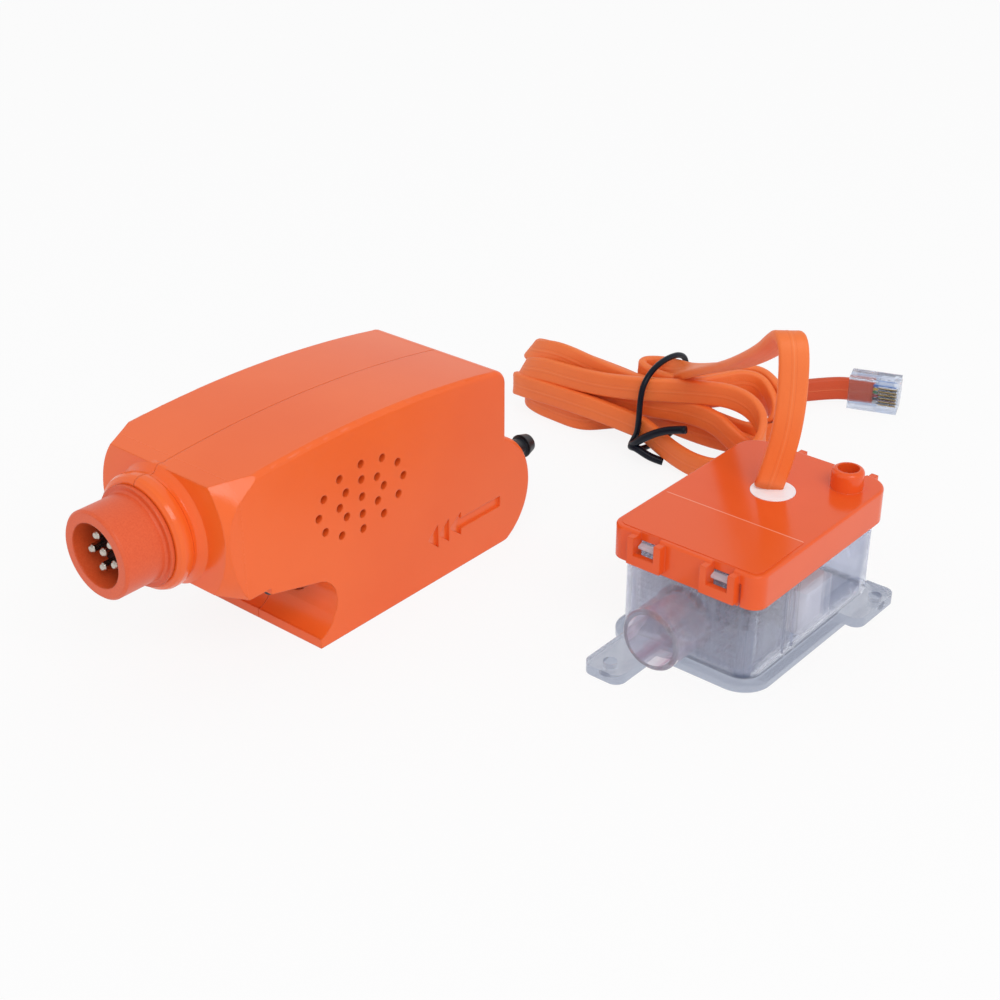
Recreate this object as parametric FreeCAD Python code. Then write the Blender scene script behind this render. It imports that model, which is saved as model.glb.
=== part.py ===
import FreeCAD, Part

import math
import os

# Condensate pump set: an orange pump unit, a clear float reservoir and the flat sensor cable.
# Each unit is modelled in its own frame, with X across, Y from front to rear, Z up from the floor,
# X = 0 on the unit's centre plane, and is moved to its place when it is written out.

V = FreeCAD.Vector

# Pump housing, driving sizes in millimetres
PUMP_WIDTH = 40.5
HOUSING_WALL = 2.0
NOSE_FRONT_Y = -24.2
REAR_WALL_Y = 64.4
TAIL_Y = 73.6
TAIL_MID_Z = 14.5
TAIL_TOP_Z = 28.1
TAIL_FOOT_Y = 66.0
TOP_FRONT_Z = 49.0
TOP_MID = (27.0, 50.3)
TOP_REAR = (60.3, 46.6)
TOP_CORNER_MID = (63.2, 45.4)
TOP_CORNER_END_Z = 42.0
NOSE_BOTTOM_Z = 23.2
FACET_LENGTH = 10.8
FACET_DROPS = (-3.0, 4.4, 12.0, 19.0, 27.0)
FACET_FRONT_HALVES = (12.4, 17.9, 19.5, 18.3, 13.6)
FACET_REAR_HALVES = (19.6, 24.8, 36.0, 34.5, 29.0)
SEAM = 0.12
EDGE_RADIUS = 1.2
TAIL_EDGE_RADIUS = 1.6

# Channel under the nose, a side profile in (y, z)
CHANNEL_TOP = (1.2, 16.9)
CHANNEL_BACK = (5.7, 11.5)
RIDGE = (4.5, 6.6)
DISH = (2.9, 3.9)
LIP_TOP_Z = 2.4
LIP_WIDTH = 0.5

# Vents: holes on ellipses, in (y, z)
VENT_CENTRE = (14.8, 32.5)
VENT_RADIUS = 1.0
VENT_COUNTS = (8, 12)
VENT_HALVES = ((6.95, 4.25), (13.35, 8.05))

# Flow arrow pressed into the right side
ARROW_Z = 11.8
ARROW_TAIL_Y = 61.9
ARROW_NECK_Y = 47.5
ARROW_TIP_Y = 43.6
ARROW_SHAFT_HALF = 1.4
ARROW_HEAD_HALF = 3.1
CHEVRON_BASES_Y = (43.2, 39.4)
CHEVRON_LENGTH = 3.5
ARROW_DEPTH = 0.7

# Round connector on the nose
CONN_Z = 35.3
CONN_END_Y = -42.2
CONN_RADIUS = 10.0
CONN_BORE_RADIUS = 7.3
CONN_RING_RADIUS = 11.4
CONN_RING = (-31.9, -30.7)
CONN_NECK_RADIUS = 9.6
CONN_FLANGE_RADIUS = 11.2
CONN_FLANGE_LENGTH = 1.6
COLLAR_RADIUS = 13.1
COLLAR_FOOT_RADIUS = 14.0
COLLAR_GROOVE_RADIUS = 12.3
INSERT_FACE_Y = -35.6
PIN_TIP_Y = -40.6
PIN_TAIL_Y = -17.5
PIN_RADIUS = 1.0
PIN_CIRCLE_RADIUS = 3.8
PIN_COUNT = 5

# Pump mechanism: its axis runs along Y
AXIS_X = 6.5
AXIS_Z = 12.7
TUBE_RADIUS = 4.4
TUBE_BORE_RADIUS = 3.2
TUBE_FRONT_Y = 18.0
TUBE_REAR_Y = 60.0
BARB_RADIUS = 3.1
BARB_ROOT_RADIUS = 2.4
BARB_BORE_RADIUS = 1.5
OUTLET_TIP_Y = -3.0
INLET_TIP_Y = 89.5
FITTING_RADIUS = 5.6
FITTING_NECK_RADIUS = 3.9
OUTLET_SHOULDER_Y = 8.2
OUTLET_SOCKET_Y = 20.5
INLET_SOCKET_Y = 58.0
INLET_SHOULDER_Y = 69.8
CHAMBER_RADIUS = 2.4
BALL_RADIUS = 1.7
SEAT_RADIUS = 1.2
OUTLET_SEAT_Y = 17.0
OUTLET_CHAMBER_Y = 10.0
INLET_SEAT_Y = 67.0
INLET_CHAMBER_Y = 60.8
PISTON_RADIUS = 3.15
PISTON_FRONT_Y = 28.0
PISTON_REAR_Y = 52.0
SPRING_WIRE_RADIUS = 0.35
SPRING_RADIUS = 2.6
SPRING_TURNS = 4
VALVE_SPRING_WIRE_RADIUS = 0.16
VALVE_SPRING_RADIUS = 1.9
VALVE_SPRING_TURNS = 2
POCKET_RADIUS = 4.8
POCKET_DEPTH = 0.6
RUNNING_GAP = 0.05

# Coil and yoke
BOBBIN_FRONT_Y = 22.4
BOBBIN_REAR_Y = 56.1
BOBBIN_FLANGE = 1.4
BOBBIN_RADIUS = 9.6
BOBBIN_CORE_RADIUS = 5.3
WINDING_RADIUS = 9.1
YOKE_THICKNESS = 1.5
YOKE_HALF_WIDTH = 9.8
RUBBER_RADIUS = 8.3
RUBBER_LENGTH = 3.0
FRONT_RUBBER_Y = 9.4
REAR_RUBBER_Y = 61.0

# Circuit board, jack and screws
BOARD_Z = 26.0
BOARD_THICKNESS = 1.6
BOARD_HALF_WIDTH = 16.0
BOARD_FRONT_Y = -11.0
BOARD_REAR_Y = 62.0
RAIL_HEIGHT = 1.4
BOARD_BLOCKS = (
    (-14.0, -3.0, 2.0, 17.0, 9.0),
    (2.0, 13.5, -5.0, 1.5, 8.0),
    (-12.0, -5.0, 22.0, 29.0, 1.4),
    (3.0, 12.5, 34.0, 38.5, 8.5),
)
CAN_AT = (8.5, 9.5)
CAN_RADIUS = 4.0
CAN_HEIGHT = 10.5
VARISTOR_X = 7.0
VARISTOR_Y = (24.0, 26.5)
VARISTOR_RADIUS = 4.5
FUSE_X = -9.0
FUSE_Y = (31.0, 41.0)
FUSE_RADIUS = 2.0
CUTOUT_WIDTH = 3.0
CUTOUT_HALF_HEIGHT = 3.5
CUTOUT_Y = (36.0, 45.0)
JACK_WIDTH = 14.0
JACK_HEIGHT = 12.0
JACK_LENGTH = 17.0
JACK_MOUTH = (9.9, 6.9)
JACK_DEPTH = 13.0
JACK_GAP = 0.15
JACK_FLOOR = 1.4
JACK_LATCH = (6.0, 7.5, 2.2)
JACK_WIRE_LENGTH = 9.0
JACK_WIRE_RISE = 3.0
JACK_WIRE_LEAN = 14.0
SCREW_POINTS = ((-11.0, 43.6), (54.0, 44.0), (66.9, 22.3), (16.0, 4.8))
BOSS_RADIUS = 2.3
PILOT_RADIUS = 0.9
SHANK_RADIUS = 0.85
SHANK_CLEAR_RADIUS = 1.3
SCREW_HEAD_RADIUS = 1.9
SCREW_HEAD_HEIGHT = 1.3
SCREW_RECESS = 1.7
SCREW_REACH = 9.0
HEAD_GAP = 0.25
DRIVE_WIDTH = 0.5
DRIVE_REACH = 1.1
DRIVE_DEPTH = 0.7

# Reservoir lid, Y = 0 on the lid's front edge
LID_WIDTH = 38.5
LID_LENGTH = 55.9
LID_TOP_Z = 29.3
LID_PLATE = 2.0
SKIRT_BOTTOM_Z = 21.2
SKIRT_WALL = 1.25
LID_FRONT_CORNER = 3.4
LID_REAR_CORNER = 6.0
LOOP_CENTRES_X = (-8.9, 9.9)
LOOP_WIDTH = 8.7
LOOP_POST = 1.7
LOOP_REACH = 2.0
LOOP_WALL = 1.5
LOOP_BOTTOM_Z = 22.2
LOOP_BAR_TOP_Z = 24.6
LOOP_SLOT = 0.5
VENT_TUBE_AT = (11.9, 47.5)
VENT_TUBE_RADIUS = 3.75
VENT_TUBE_BORE = 2.5
VENT_TUBE_TOP_Z = 34.1
DISC_AT = (0.1, 35.2)
DISC_RADIUS = 5.15
DISC_PROUD = 0.15
STEM_AT = (0.1, 31.2)
STEM_RADIUS = 2.6
STEM_WALL = 0.8
STEM_BOTTOM_Z = 5.4
SENSOR_BOARD_THICKNESS = 0.8
LABEL_MARGIN = 1.3
LABEL_LENGTH = 18.2
LABEL_REAR_CORNER = 0.6
LABEL_THICKNESS = 0.12

# Tank
TANK_INSET = 1.5
TANK_WALL = 1.3
TANK_FLOOR = 1.5
TANK_TOP_Z = 27.0
TANK_CORNER = 5.0
RIM_REACH = 2.1
RIM_THICKNESS = 1.6
EAR_THICKNESS = 2.5
FRONT_EAR_X = (-14.9, -4.8)
FRONT_EAR_TIP_Y = -15.0
RIGHT_EAR_TIP_X = 23.4
RIGHT_EAR_Y = (38.6, 55.4)
EAR_CORNER = 2.6
EAR_HOLE_RADIUS = 1.6
FRONT_EAR_HOLE = (-10.2, -10.7)
RIGHT_EAR_HOLE = (20.5, 50.6)
INLET_TUBE_Z = 12.0
INLET_TUBE_RADIUS = 7.2
INLET_TUBE_BORE = 6.0
INLET_TUBE_END_Y = -10.9
SPIGOT_Z = 9.0
SPIGOT_RADIUS = 3.1
SPIGOT_ROOT_RADIUS = 2.5
SPIGOT_BORE = 1.6
SPIGOT_LENGTH = 12.0
LUG_GAP = 0.15
LUG_BOTTOM_Z = 25.4
LUG_REACH = 1.8
GUIDE_RIB = 0.7
GUIDE_RIBS_Y = (16.0, 19.9)
GUIDE_RIB_THICKNESS = 0.9
GUIDE_RIB_TOP_Z = 24.5

# Strainer
STRAINER_GAP = 0.35
STRAINER_FRONT_GAP = 0.5
STRAINER_WALL = 1.0
STRAINER_TOP_Z = 22.5
GRID_HOLE = 1.3
GRID_PITCH = 2.0
GRID_DROP = 1.8
GRID_SIDE = 0.7
GRID_ROWS = 5
FRONT_GRID = 4
LOUVRE_HEIGHT = 1.0
LOUVRE_PITCH = 2.4
LOUVRE_REACH = 7.5
LOUVRES = 3
COMB_SLOT = 1.1
COMB_PITCH = 2.6
COMB_SIDE_SLOTS = 5

# Float and its magnet
FLOAT_SIDE_GAP = 1.95
FLOAT_CORNER = 1.5
FLOAT_FRONT_Y = 25.3
FLOAT_REAR_Y = 37.1
FLOAT_BOTTOM_Z = 1.8
FLOAT_HEIGHT = 11.0
FLOAT_STEM_GAP = 1.2
MAGNET_RADIUS = 5.4
MAGNET_HEIGHT = 3.0

# Places of the two units: the reservoir stands to the right of the pump
TANK_SHIFT_X = 84.8
TANK_SHIFT_Y = 45.4

# Cable, in the reservoir's frame
CABLE_WIDTH = 7.0
CABLE_THICKNESS = 2.4
CABLE_TUBE_RADIUS = 2.0
RISER_ROUTE = (
    (0.1, 35.2, 29.45),
    (1.2, 35.2, 43.5),
    (2.4, 35.4, 56.0),
    (1.0, 36.2, 66.6),
    (-6.8, 40.4, 65.2),
    (-14.5, 47.0, 56.0),
    (-25.5, 57.5, 46.5),
    (-37.5, 68.5, 37.5),
    (-48.5, 79.0, 29.5),
    (-57.0, 87.5, 23.9),
)
HANK_LEFT_X = -112.0
HANK_RIGHT_X = -38.0
HANK_FRONT_Y = 77.0
HANK_REAR_Y = 98.0
HANK_FAN_REAR_Y = 107.5
HANK_TOP_Z = 24.0
HANK_LEFT_TOP_Z = 12.0
TIE_X = -66.0
TIE_WIRE_RADIUS = 0.75
TIE_CORNER = 5.0
TIE_KNOT_OUT = 1.2
TIE_KNOT_Z = 4.2
TIE_UPPER_TAIL = 16.0
TIE_LOWER_TAIL = 10.0
TAIL_ROUTE = (
    (-75.0, 97.5, 3.6),
    (-70.5, 107.5, 3.5),
    (-64.0, 117.0, 3.5),
    (-56.0, 125.5, 3.5),
    (-47.5, 134.2, 3.5),
    (-38.6, 141.0, 3.5),
)
PLUG_WIDTH = 9.65
PLUG_HEIGHT = 6.6
PLUG_LENGTH = 14.0
PLUG_SLEEVE = 1.0
PLUG_LIFT = 0.05
PLUG_ENTRY = (7.4, 3.4)
PLUG_ENTRY_DEPTH = 7.0
CONTACT_COUNT = 6
CONTACT_PITCH = 1.02
CONTACT_THICKNESS = 0.35
CONTACT_LENGTH = 5.4
CONTACT_SLOT = 0.5
CONTACT_SLOT_DEPTH = 1.6
CONTACT_GAP = 0.4
LATCH_BLOCK = (2.0, 1.4)
LATCH_THICKNESS = 0.8
LATCH_GAP = 0.1
LATCH_LENGTH = 11.0
LATCH_WIDTH = 6.0
LATCH_TIP_WIDTH = 3.2
LATCH_NECK = 4.5
LATCH_ANGLE = 11.0

HALF = PUMP_WIDTH / 2
INNER_HALF = HALF - HOUSING_WALL
TANK_HALF = LID_WIDTH / 2 - TANK_INSET
TANK_FRONT_Y = TANK_INSET
TANK_REAR_Y = LID_LENGTH - TANK_INSET
FLOAT_HOLE_RADIUS = STEM_RADIUS + FLOAT_STEM_GAP
WIDE = TAIL_Y - CONN_END_Y


def box(x0, x1, y0, y1, z0, z1):
    return Part.makeBox(x1 - x0, y1 - y0, z1 - z0, V(x0, y0, z0))


def rod_x(radius, x0, x1, y, z):
    return Part.makeCylinder(radius, x1 - x0, V(x0, y, z), V(1, 0, 0))


def rod_y(radius, y0, y1, x, z):
    return Part.makeCylinder(radius, y1 - y0, V(x, y0, z), V(0, 1, 0))


def rod_z(radius, z0, z1, x, y):
    return Part.makeCylinder(radius, z1 - z0, V(x, y, z0), V(0, 0, 1))


def ring_y(outer, inner, y0, y1, x, z):
    return rod_y(outer, y0, y1, x, z).cut(rod_y(inner, y0 - 1, y1 + 1, x, z))


def fuse(shapes):
    body = shapes[0]
    for shape in shapes[1:]:
        body = body.fuse(shape)
    return body.removeSplitter()


def turned_y(profile, x, z):
    """A solid of revolution about a line along Y; the profile is (y, radius) points."""
    points = [V(x, y, z + r) for y, r in profile]
    first, last = profile[0], profile[-1]
    points = [V(x, first[0], z)] + points + [V(x, last[0], z)]
    wire = Part.makePolygon(points + [points[0]])
    return Part.Face(wire).revolve(V(x, 0, z), V(0, 1, 0), 360)


def slab(x0, x1, y0, y1, z0, z1, radii):
    """An upright block with rounded corners: front-left, front-right, rear-right, rear-left."""
    fl, fr, rr, rl = radii
    s = 1 - math.sqrt(0.5)
    edges = [Part.makeLine(V(x0 + fl, y0, z0), V(x1 - fr, y0, z0))]
    if fr:
        edges.append(arc((x1 - fr, y0), (x1 - fr * s, y0 + fr * s), (x1, y0 + fr), z0))
    edges.append(Part.makeLine(V(x1, y0 + fr, z0), V(x1, y1 - rr, z0)))
    if rr:
        edges.append(arc((x1, y1 - rr), (x1 - rr * s, y1 - rr * s), (x1 - rr, y1), z0))
    edges.append(Part.makeLine(V(x1 - rr, y1, z0), V(x0 + rl, y1, z0)))
    if rl:
        edges.append(arc((x0 + rl, y1), (x0 + rl * s, y1 - rl * s), (x0, y1 - rl), z0))
    edges.append(Part.makeLine(V(x0, y1 - rl, z0), V(x0, y0 + fl, z0)))
    if fl:
        edges.append(arc((x0, y0 + fl), (x0 + fl * s, y0 + fl * s), (x0 + fl, y0), z0))
    return Part.Face(Part.Wire(edges)).extrude(V(0, 0, z1 - z0))


def arc(a, b, c, z):
    return Part.Arc(V(a[0], a[1], z), V(b[0], b[1], z), V(c[0], c[1], z)).toShape()


def arc_yz(a, b, c, x):
    return Part.Arc(V(x, *a), V(x, *b), V(x, *c)).toShape()


def line_yz(a, b, x):
    return Part.makeLine(V(x, *a), V(x, *b))


def coil_spring(y0, y1, x, z, radius, wire_radius, turns):
    """A compression spring along Y, its wire drawn square to keep its faces few."""
    length = y1 - y0 - 2 * wire_radius
    helix = Part.makeHelix(length / turns, length, radius)
    inner, outer = radius - wire_radius, radius + wire_radius
    corners = [V(a, 0, b) for a, b in (
        (inner, -wire_radius), (outer, -wire_radius), (outer, wire_radius), (inner, wire_radius),
    )]
    section = Part.makePolygon(corners + corners[:1])
    spring = Part.Wire(helix.Edges).makePipeShell([section], True, True)
    spring.rotate(V(0, 0, 0), V(1, 0, 0), -90)
    spring.translate(V(x, y0 + wire_radius, z))
    return spring


def side_profile(inset, x):
    """The housing's side outline, moved inwards by inset."""
    i = inset
    slope = (NOSE_BOTTOM_Z - CHANNEL_TOP[1]) / (CHANNEL_TOP[0] - NOSE_FRONT_Y)
    lift = i * math.sqrt(1 + slope * slope)
    foot = (i + LIP_WIDTH if i else 0.0, i)
    front_low = (NOSE_FRONT_Y + i, NOSE_BOTTOM_Z - slope * i + lift)
    channel_top = (CHANNEL_TOP[0] + 0.3 * i, CHANNEL_TOP[1] - 0.3 * i * slope + lift)
    channel_back = (CHANNEL_BACK[0] + i, CHANNEL_BACK[1])
    ridge = (RIDGE[0] + i, RIDGE[1] - 0.3 * i)
    tail_foot = (TAIL_FOOT_Y - 0.6 * i, i)
    tail_top = (REAR_WALL_Y - i, TAIL_TOP_Z - i)
    corner_low = (REAR_WALL_Y - i, TOP_CORNER_END_Z)
    corner_mid = (TOP_CORNER_MID[0] - 0.7 * i, TOP_CORNER_MID[1] - 0.7 * i)
    top_rear = (TOP_REAR[0], TOP_REAR[1] - i)
    top_mid = (TOP_MID[0], TOP_MID[1] - i)
    top_front = (NOSE_FRONT_Y + i, TOP_FRONT_Z - i)
    points = [
        line_yz(foot, tail_foot, x),
        arc_yz(tail_foot, (TAIL_Y - i, TAIL_MID_Z), tail_top, x),
        line_yz(tail_top, corner_low, x),
        arc_yz(corner_low, corner_mid, top_rear, x),
        arc_yz(top_rear, top_mid, top_front, x),
        line_yz(top_front, front_low, x),
        line_yz(front_low, channel_top, x),
        arc_yz(channel_top, channel_back, ridge, x),
    ]
    if i:
        points.append(line_yz(ridge, foot, x))
    else:
        points.append(arc_yz(ridge, DISH, (LIP_WIDTH, LIP_TOP_Z), x))
        points.append(line_yz((LIP_WIDTH, LIP_TOP_Z), (0.0, LIP_TOP_Z), x))
        points.append(line_yz((0.0, LIP_TOP_Z), foot, x))
    return Part.Wire(points)


def nose_section(y, edge, inset):
    """One closed outline of the faceted nose across X at y; edge holds its right side's points."""
    i = inset
    (tx, tz), (ux, uz), (mx, mz), (vx, vz), (bx, bz) = [(px - i, pz) for px, pz in edge]
    right_top = Part.Arc(V(tx, y, tz), V(ux, y, uz), V(mx, y, mz)).toShape()
    right_low = Part.Arc(V(mx, y, mz), V(vx, y, vz), V(bx, y, bz)).toShape()
    left_low = Part.Arc(V(-bx, y, bz), V(-vx, y, vz), V(-mx, y, mz)).toShape()
    left_top = Part.Arc(V(-mx, y, mz), V(-ux, y, uz), V(-tx, y, tz)).toShape()
    top = Part.makeLine(V(-tx, y, tz), V(tx, y, tz))
    bottom = Part.makeLine(V(bx, y, bz), V(-bx, y, bz))
    return Part.Wire([top, right_top, right_low, bottom, left_low, left_top])


def nose_block(inset):
    """The nose's faceted corners: a ruled loft that widens to the full width behind the facets."""
    heights = [TOP_FRONT_Z - drop for drop in FACET_DROPS]
    y0 = NOSE_FRONT_Y + inset
    y1 = y0 + FACET_LENGTH
    front = nose_section(y0, list(zip(FACET_FRONT_HALVES, heights)), inset)
    rear = nose_section(y1, list(zip(FACET_REAR_HALVES, heights)), inset)
    loft = Part.makeLoft([front, rear], True, True)
    behind = box(-WIDE, WIDE, y1, WIDE, -1, WIDE)
    return loft.fuse(behind)


def housing_outside():
    block = Part.Face(side_profile(0.0, -HALF)).extrude(V(PUMP_WIDTH, 0, 0))
    top_edges = []
    tail_edges = []
    for edge in block.Edges:
        box_ = edge.BoundBox
        on_side = abs(abs(box_.Center.x) - HALF) < 0.01
        if not on_side:
            continue
        if box_.ZMin > TOP_FRONT_Z - 5 and box_.YLength > 20:
            top_edges.append(edge)
        elif box_.YMin > TAIL_FOOT_Y - 7 and box_.YLength < 12 and box_.ZLength > 2:
            tail_edges.append(edge)
    block = block.makeFillet(EDGE_RADIUS, top_edges + tail_edges)
    return block.common(nose_block(0.0))


def collar():
    rear_y = NOSE_FRONT_Y + 1
    face_y = CONN_RING[1]
    return turned_y(
        (
            (rear_y, COLLAR_FOOT_RADIUS),
            (NOSE_FRONT_Y, COLLAR_FOOT_RADIUS - 0.1),
            (NOSE_FRONT_Y - 0.7, COLLAR_FOOT_RADIUS - 1.0),
            (NOSE_FRONT_Y - 1.5, COLLAR_GROOVE_RADIUS),
            (NOSE_FRONT_Y - 2.3, COLLAR_GROOVE_RADIUS),
            (NOSE_FRONT_Y - 2.9, COLLAR_RADIUS - 0.2),
            (NOSE_FRONT_Y - 3.8, COLLAR_RADIUS),
            (face_y + 1.4, COLLAR_RADIUS),
            (face_y + 0.5, COLLAR_RADIUS - 0.4),
            (face_y, COLLAR_RADIUS - 1.2),
        )[::-1],
        0.0,
        CONN_Z,
    )


def screw_bosses(x0, x1, hole_radius):
    posts = [rod_x(BOSS_RADIUS, x0, x1, y, z) for y, z in SCREW_POINTS]
    holes = [rod_x(hole_radius, x0 - 1, x1 + 1, y, z) for y, z in SCREW_POINTS]
    return posts, holes


def mount_ribs():
    """Saddles that hold the two rubber mounts, fixed to the floor and to both sides."""
    ribs = []
    for y0 in (FRONT_RUBBER_Y, REAR_RUBBER_Y):
        reach = RUBBER_RADIUS + 1.5
        low, top = HOUSING_WALL - 0.5, AXIS_Z + reach
        y1 = y0 + RUBBER_LENGTH
        rib = box(AXIS_X - reach, INNER_HALF + 0.5, y0 + 0.3, y1 - 0.3, low, top)
        ribs.append(rib.cut(rod_y(RUBBER_RADIUS + RUNNING_GAP, y0 - 1, y1 + 1, AXIS_X, AXIS_Z)))
    return ribs


def board_rails():
    rails = []
    low = BOARD_Z - RAIL_HEIGHT
    for side in (-1, 1):
        x0, x1 = sorted((side * (BOARD_HALF_WIDTH - 1.5), side * (INNER_HALF + 0.5)))
        rails.append(box(x0, x1, BOARD_FRONT_Y + 2, BOARD_REAR_Y - 6, low, BOARD_Z))
    return rails


def vents():
    holes = [rod_x(VENT_RADIUS, -HALF - 1, HALF + 1, *VENT_CENTRE)]
    for count, (half_y, half_z) in zip(VENT_COUNTS, VENT_HALVES):
        for k in range(count):
            a = 2 * math.pi * k / count
            y = VENT_CENTRE[0] + half_y * math.cos(a)
            z = VENT_CENTRE[1] + half_z * math.sin(a)
            holes.append(rod_x(VENT_RADIUS, -HALF - 1, HALF + 1, y, z))
    return holes


def chevron(base_y, tip_y, half_height):
    """A triangular press mark whose floor slopes up from its base to its tip."""
    x1, x0 = HALF + 0.01, HALF - ARROW_DEPTH
    top, low = ARROW_Z + half_height, ARROW_Z - half_height
    a, b, tip = V(x1, base_y, top), V(x1, base_y, low), V(x1, tip_y, ARROW_Z)
    c, d = V(x0, base_y, top), V(x0, base_y, low)
    faces = [(a, b, tip), (a, c, d, b), (c, tip, d), (a, tip, c), (b, d, tip)]
    shell = Part.makeShell([Part.Face(Part.makePolygon(list(f) + [f[0]])) for f in faces])
    return Part.makeSolid(shell)


def flow_arrow():
    marks = [chevron(ARROW_NECK_Y, ARROW_TIP_Y, ARROW_HEAD_HALF)]
    for base in CHEVRON_BASES_Y:
        marks.append(chevron(base, base - CHEVRON_LENGTH, ARROW_HEAD_HALF))
    low, top = ARROW_Z - ARROW_SHAFT_HALF, ARROW_Z + ARROW_SHAFT_HALF
    marks.append(box(HALF - ARROW_DEPTH, HALF + 1, ARROW_NECK_Y - 0.6, ARROW_TAIL_Y, low, top))
    return marks


def housing():
    """Both halves of the clamshell."""
    outside = housing_outside().fuse(collar())
    inside = Part.Face(side_profile(HOUSING_WALL, -INNER_HALF)).extrude(V(2 * INNER_HALF, 0, 0))
    inside = inside.common(nose_block(HOUSING_WALL))
    shell = outside.cut(inside)
    cuts = vents()
    neck_hole = CONN_NECK_RADIUS + RUNNING_GAP
    cuts.append(rod_y(neck_hole, CONN_RING[0] - 1, NOSE_FRONT_Y + HOUSING_WALL + 1, 0, CONN_Z))
    fitting_hole = FITTING_NECK_RADIUS + 2 * RUNNING_GAP
    cuts.append(rod_y(fitting_hole, OUTLET_TIP_Y, OUTLET_SHOULDER_Y + 1, AXIS_X, AXIS_Z))
    cuts.append(rod_y(POCKET_RADIUS, OUTLET_TIP_Y, CHANNEL_BACK[0] + POCKET_DEPTH, AXIS_X, AXIS_Z))
    cuts.append(rod_y(fitting_hole, INLET_SHOULDER_Y, TAIL_Y + 1, AXIS_X, AXIS_Z))
    board_top = BOARD_Z + BOARD_THICKNESS
    jack_low, jack_top = board_top - JACK_GAP, board_top + JACK_HEIGHT + JACK_GAP
    half_jack = JACK_WIDTH / 2 + JACK_GAP
    wall_y0, wall_y1 = REAR_WALL_Y - HOUSING_WALL - 1, REAR_WALL_Y + 1
    cuts.append(box(-half_jack, half_jack, wall_y0, wall_y1, jack_low, jack_top))
    ribs = [r.common(inside.fuse(shell)) for r in mount_ribs() + board_rails()]
    left_posts, left_holes = screw_bosses(-INNER_HALF - 0.5, 0, SHANK_CLEAR_RADIUS)
    right_posts, right_holes = screw_bosses(0, INNER_HALF + 0.5, PILOT_RADIUS)
    whole = shell
    for extra in ribs + left_posts + right_posts:
        whole = whole.fuse(extra)
    for cut in cuts:
        whole = whole.cut(cut)
    left = whole.common(box(-WIDE, -SEAM / 2, -WIDE, WIDE, -WIDE, WIDE))
    right = whole.common(box(SEAM / 2, WIDE, -WIDE, WIDE, -WIDE, WIDE))
    for hole in left_holes:
        left = left.cut(hole)
    for y, z in SCREW_POINTS:
        left = left.cut(rod_x(SHANK_CLEAR_RADIUS, -HALF - 1, -INNER_HALF + 1, y, z))
        left = left.cut(rod_x(SCREW_HEAD_RADIUS + HEAD_GAP, -HALF - 1, -HALF + SCREW_RECESS, y, z))
        right = right.cut(rod_x(PILOT_RADIUS, SEAM / 2 - 1, SCREW_REACH + 1, y, z))
    for mark in flow_arrow():
        right = right.cut(mark)
    return left.removeSplitter(), right.removeSplitter()


def connector_shell():
    inner_y = NOSE_FRONT_Y + HOUSING_WALL + 0.1
    end_y = inner_y + CONN_FLANGE_LENGTH
    tube = turned_y(
        (
            (CONN_END_Y, CONN_RADIUS - 0.5),
            (CONN_END_Y + 0.5, CONN_RADIUS),
            (CONN_RING[0] - 0.4, CONN_RADIUS),
            (CONN_RING[0], CONN_RADIUS + 0.4),
            (CONN_RING[0] + 0.01, CONN_RING_RADIUS),
            (CONN_RING[1] - 0.15, CONN_RING_RADIUS),
            (CONN_RING[1] - 0.14, CONN_NECK_RADIUS),
            (inner_y, CONN_NECK_RADIUS),
            (inner_y + 0.01, CONN_FLANGE_RADIUS),
            (end_y, CONN_FLANGE_RADIUS),
        ),
        0.0,
        CONN_Z,
    )
    tube = tube.cut(rod_y(CONN_BORE_RADIUS, CONN_END_Y - 1, end_y + 1, 0, CONN_Z))
    flat_z = NOSE_BOTTOM_Z + HOUSING_WALL
    return tube.cut(box(-WIDE, WIDE, inner_y - 0.1, end_y + 1, 0, flat_z))


def pin_points():
    points = [(0.0, CONN_Z)]
    for k in range(PIN_COUNT):
        a = math.radians(44 + 72 * k)
        points.append((PIN_CIRCLE_RADIUS * math.cos(a), CONN_Z + PIN_CIRCLE_RADIUS * math.sin(a)))
    return points


def pin_carrier():
    carrier = rod_y(CONN_BORE_RADIUS - RUNNING_GAP, INSERT_FACE_Y, PIN_TAIL_Y - 3, 0, CONN_Z)
    for x, z in pin_points():
        carrier = carrier.cut(rod_y(PIN_RADIUS + 0.02, INSERT_FACE_Y - 1, PIN_TAIL_Y, x, z))
    return carrier


def connector_pins():
    profile = ((PIN_TIP_Y, PIN_RADIUS - 0.4), (PIN_TIP_Y + 0.5, PIN_RADIUS), (PIN_TAIL_Y, PIN_RADIUS))
    return Part.makeCompound([turned_y(profile, x, z) for x, z in pin_points()])


def barb(tip_y, root_y):
    """Barbed hose end along Y: three cones from the tip to the root."""
    s = 1 if tip_y < root_y else -1
    profile = [(tip_y, BARB_RADIUS - 0.7)]
    pitch = 3.6
    for k in range(3):
        y = tip_y + s * pitch * k
        if k:
            profile.append((y, BARB_ROOT_RADIUS))
        profile.append((y + s * pitch * 0.72, BARB_RADIUS))
        profile.append((y + s * (pitch * 0.72 + 0.25), BARB_RADIUS))
        profile.append((y + s * (pitch * 0.72 + 0.26), BARB_ROOT_RADIUS))
    profile.append((root_y, BARB_ROOT_RADIUS))
    if s < 0:
        profile = profile[::-1]
    return turned_y(profile, AXIS_X, AXIS_Z)


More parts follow.
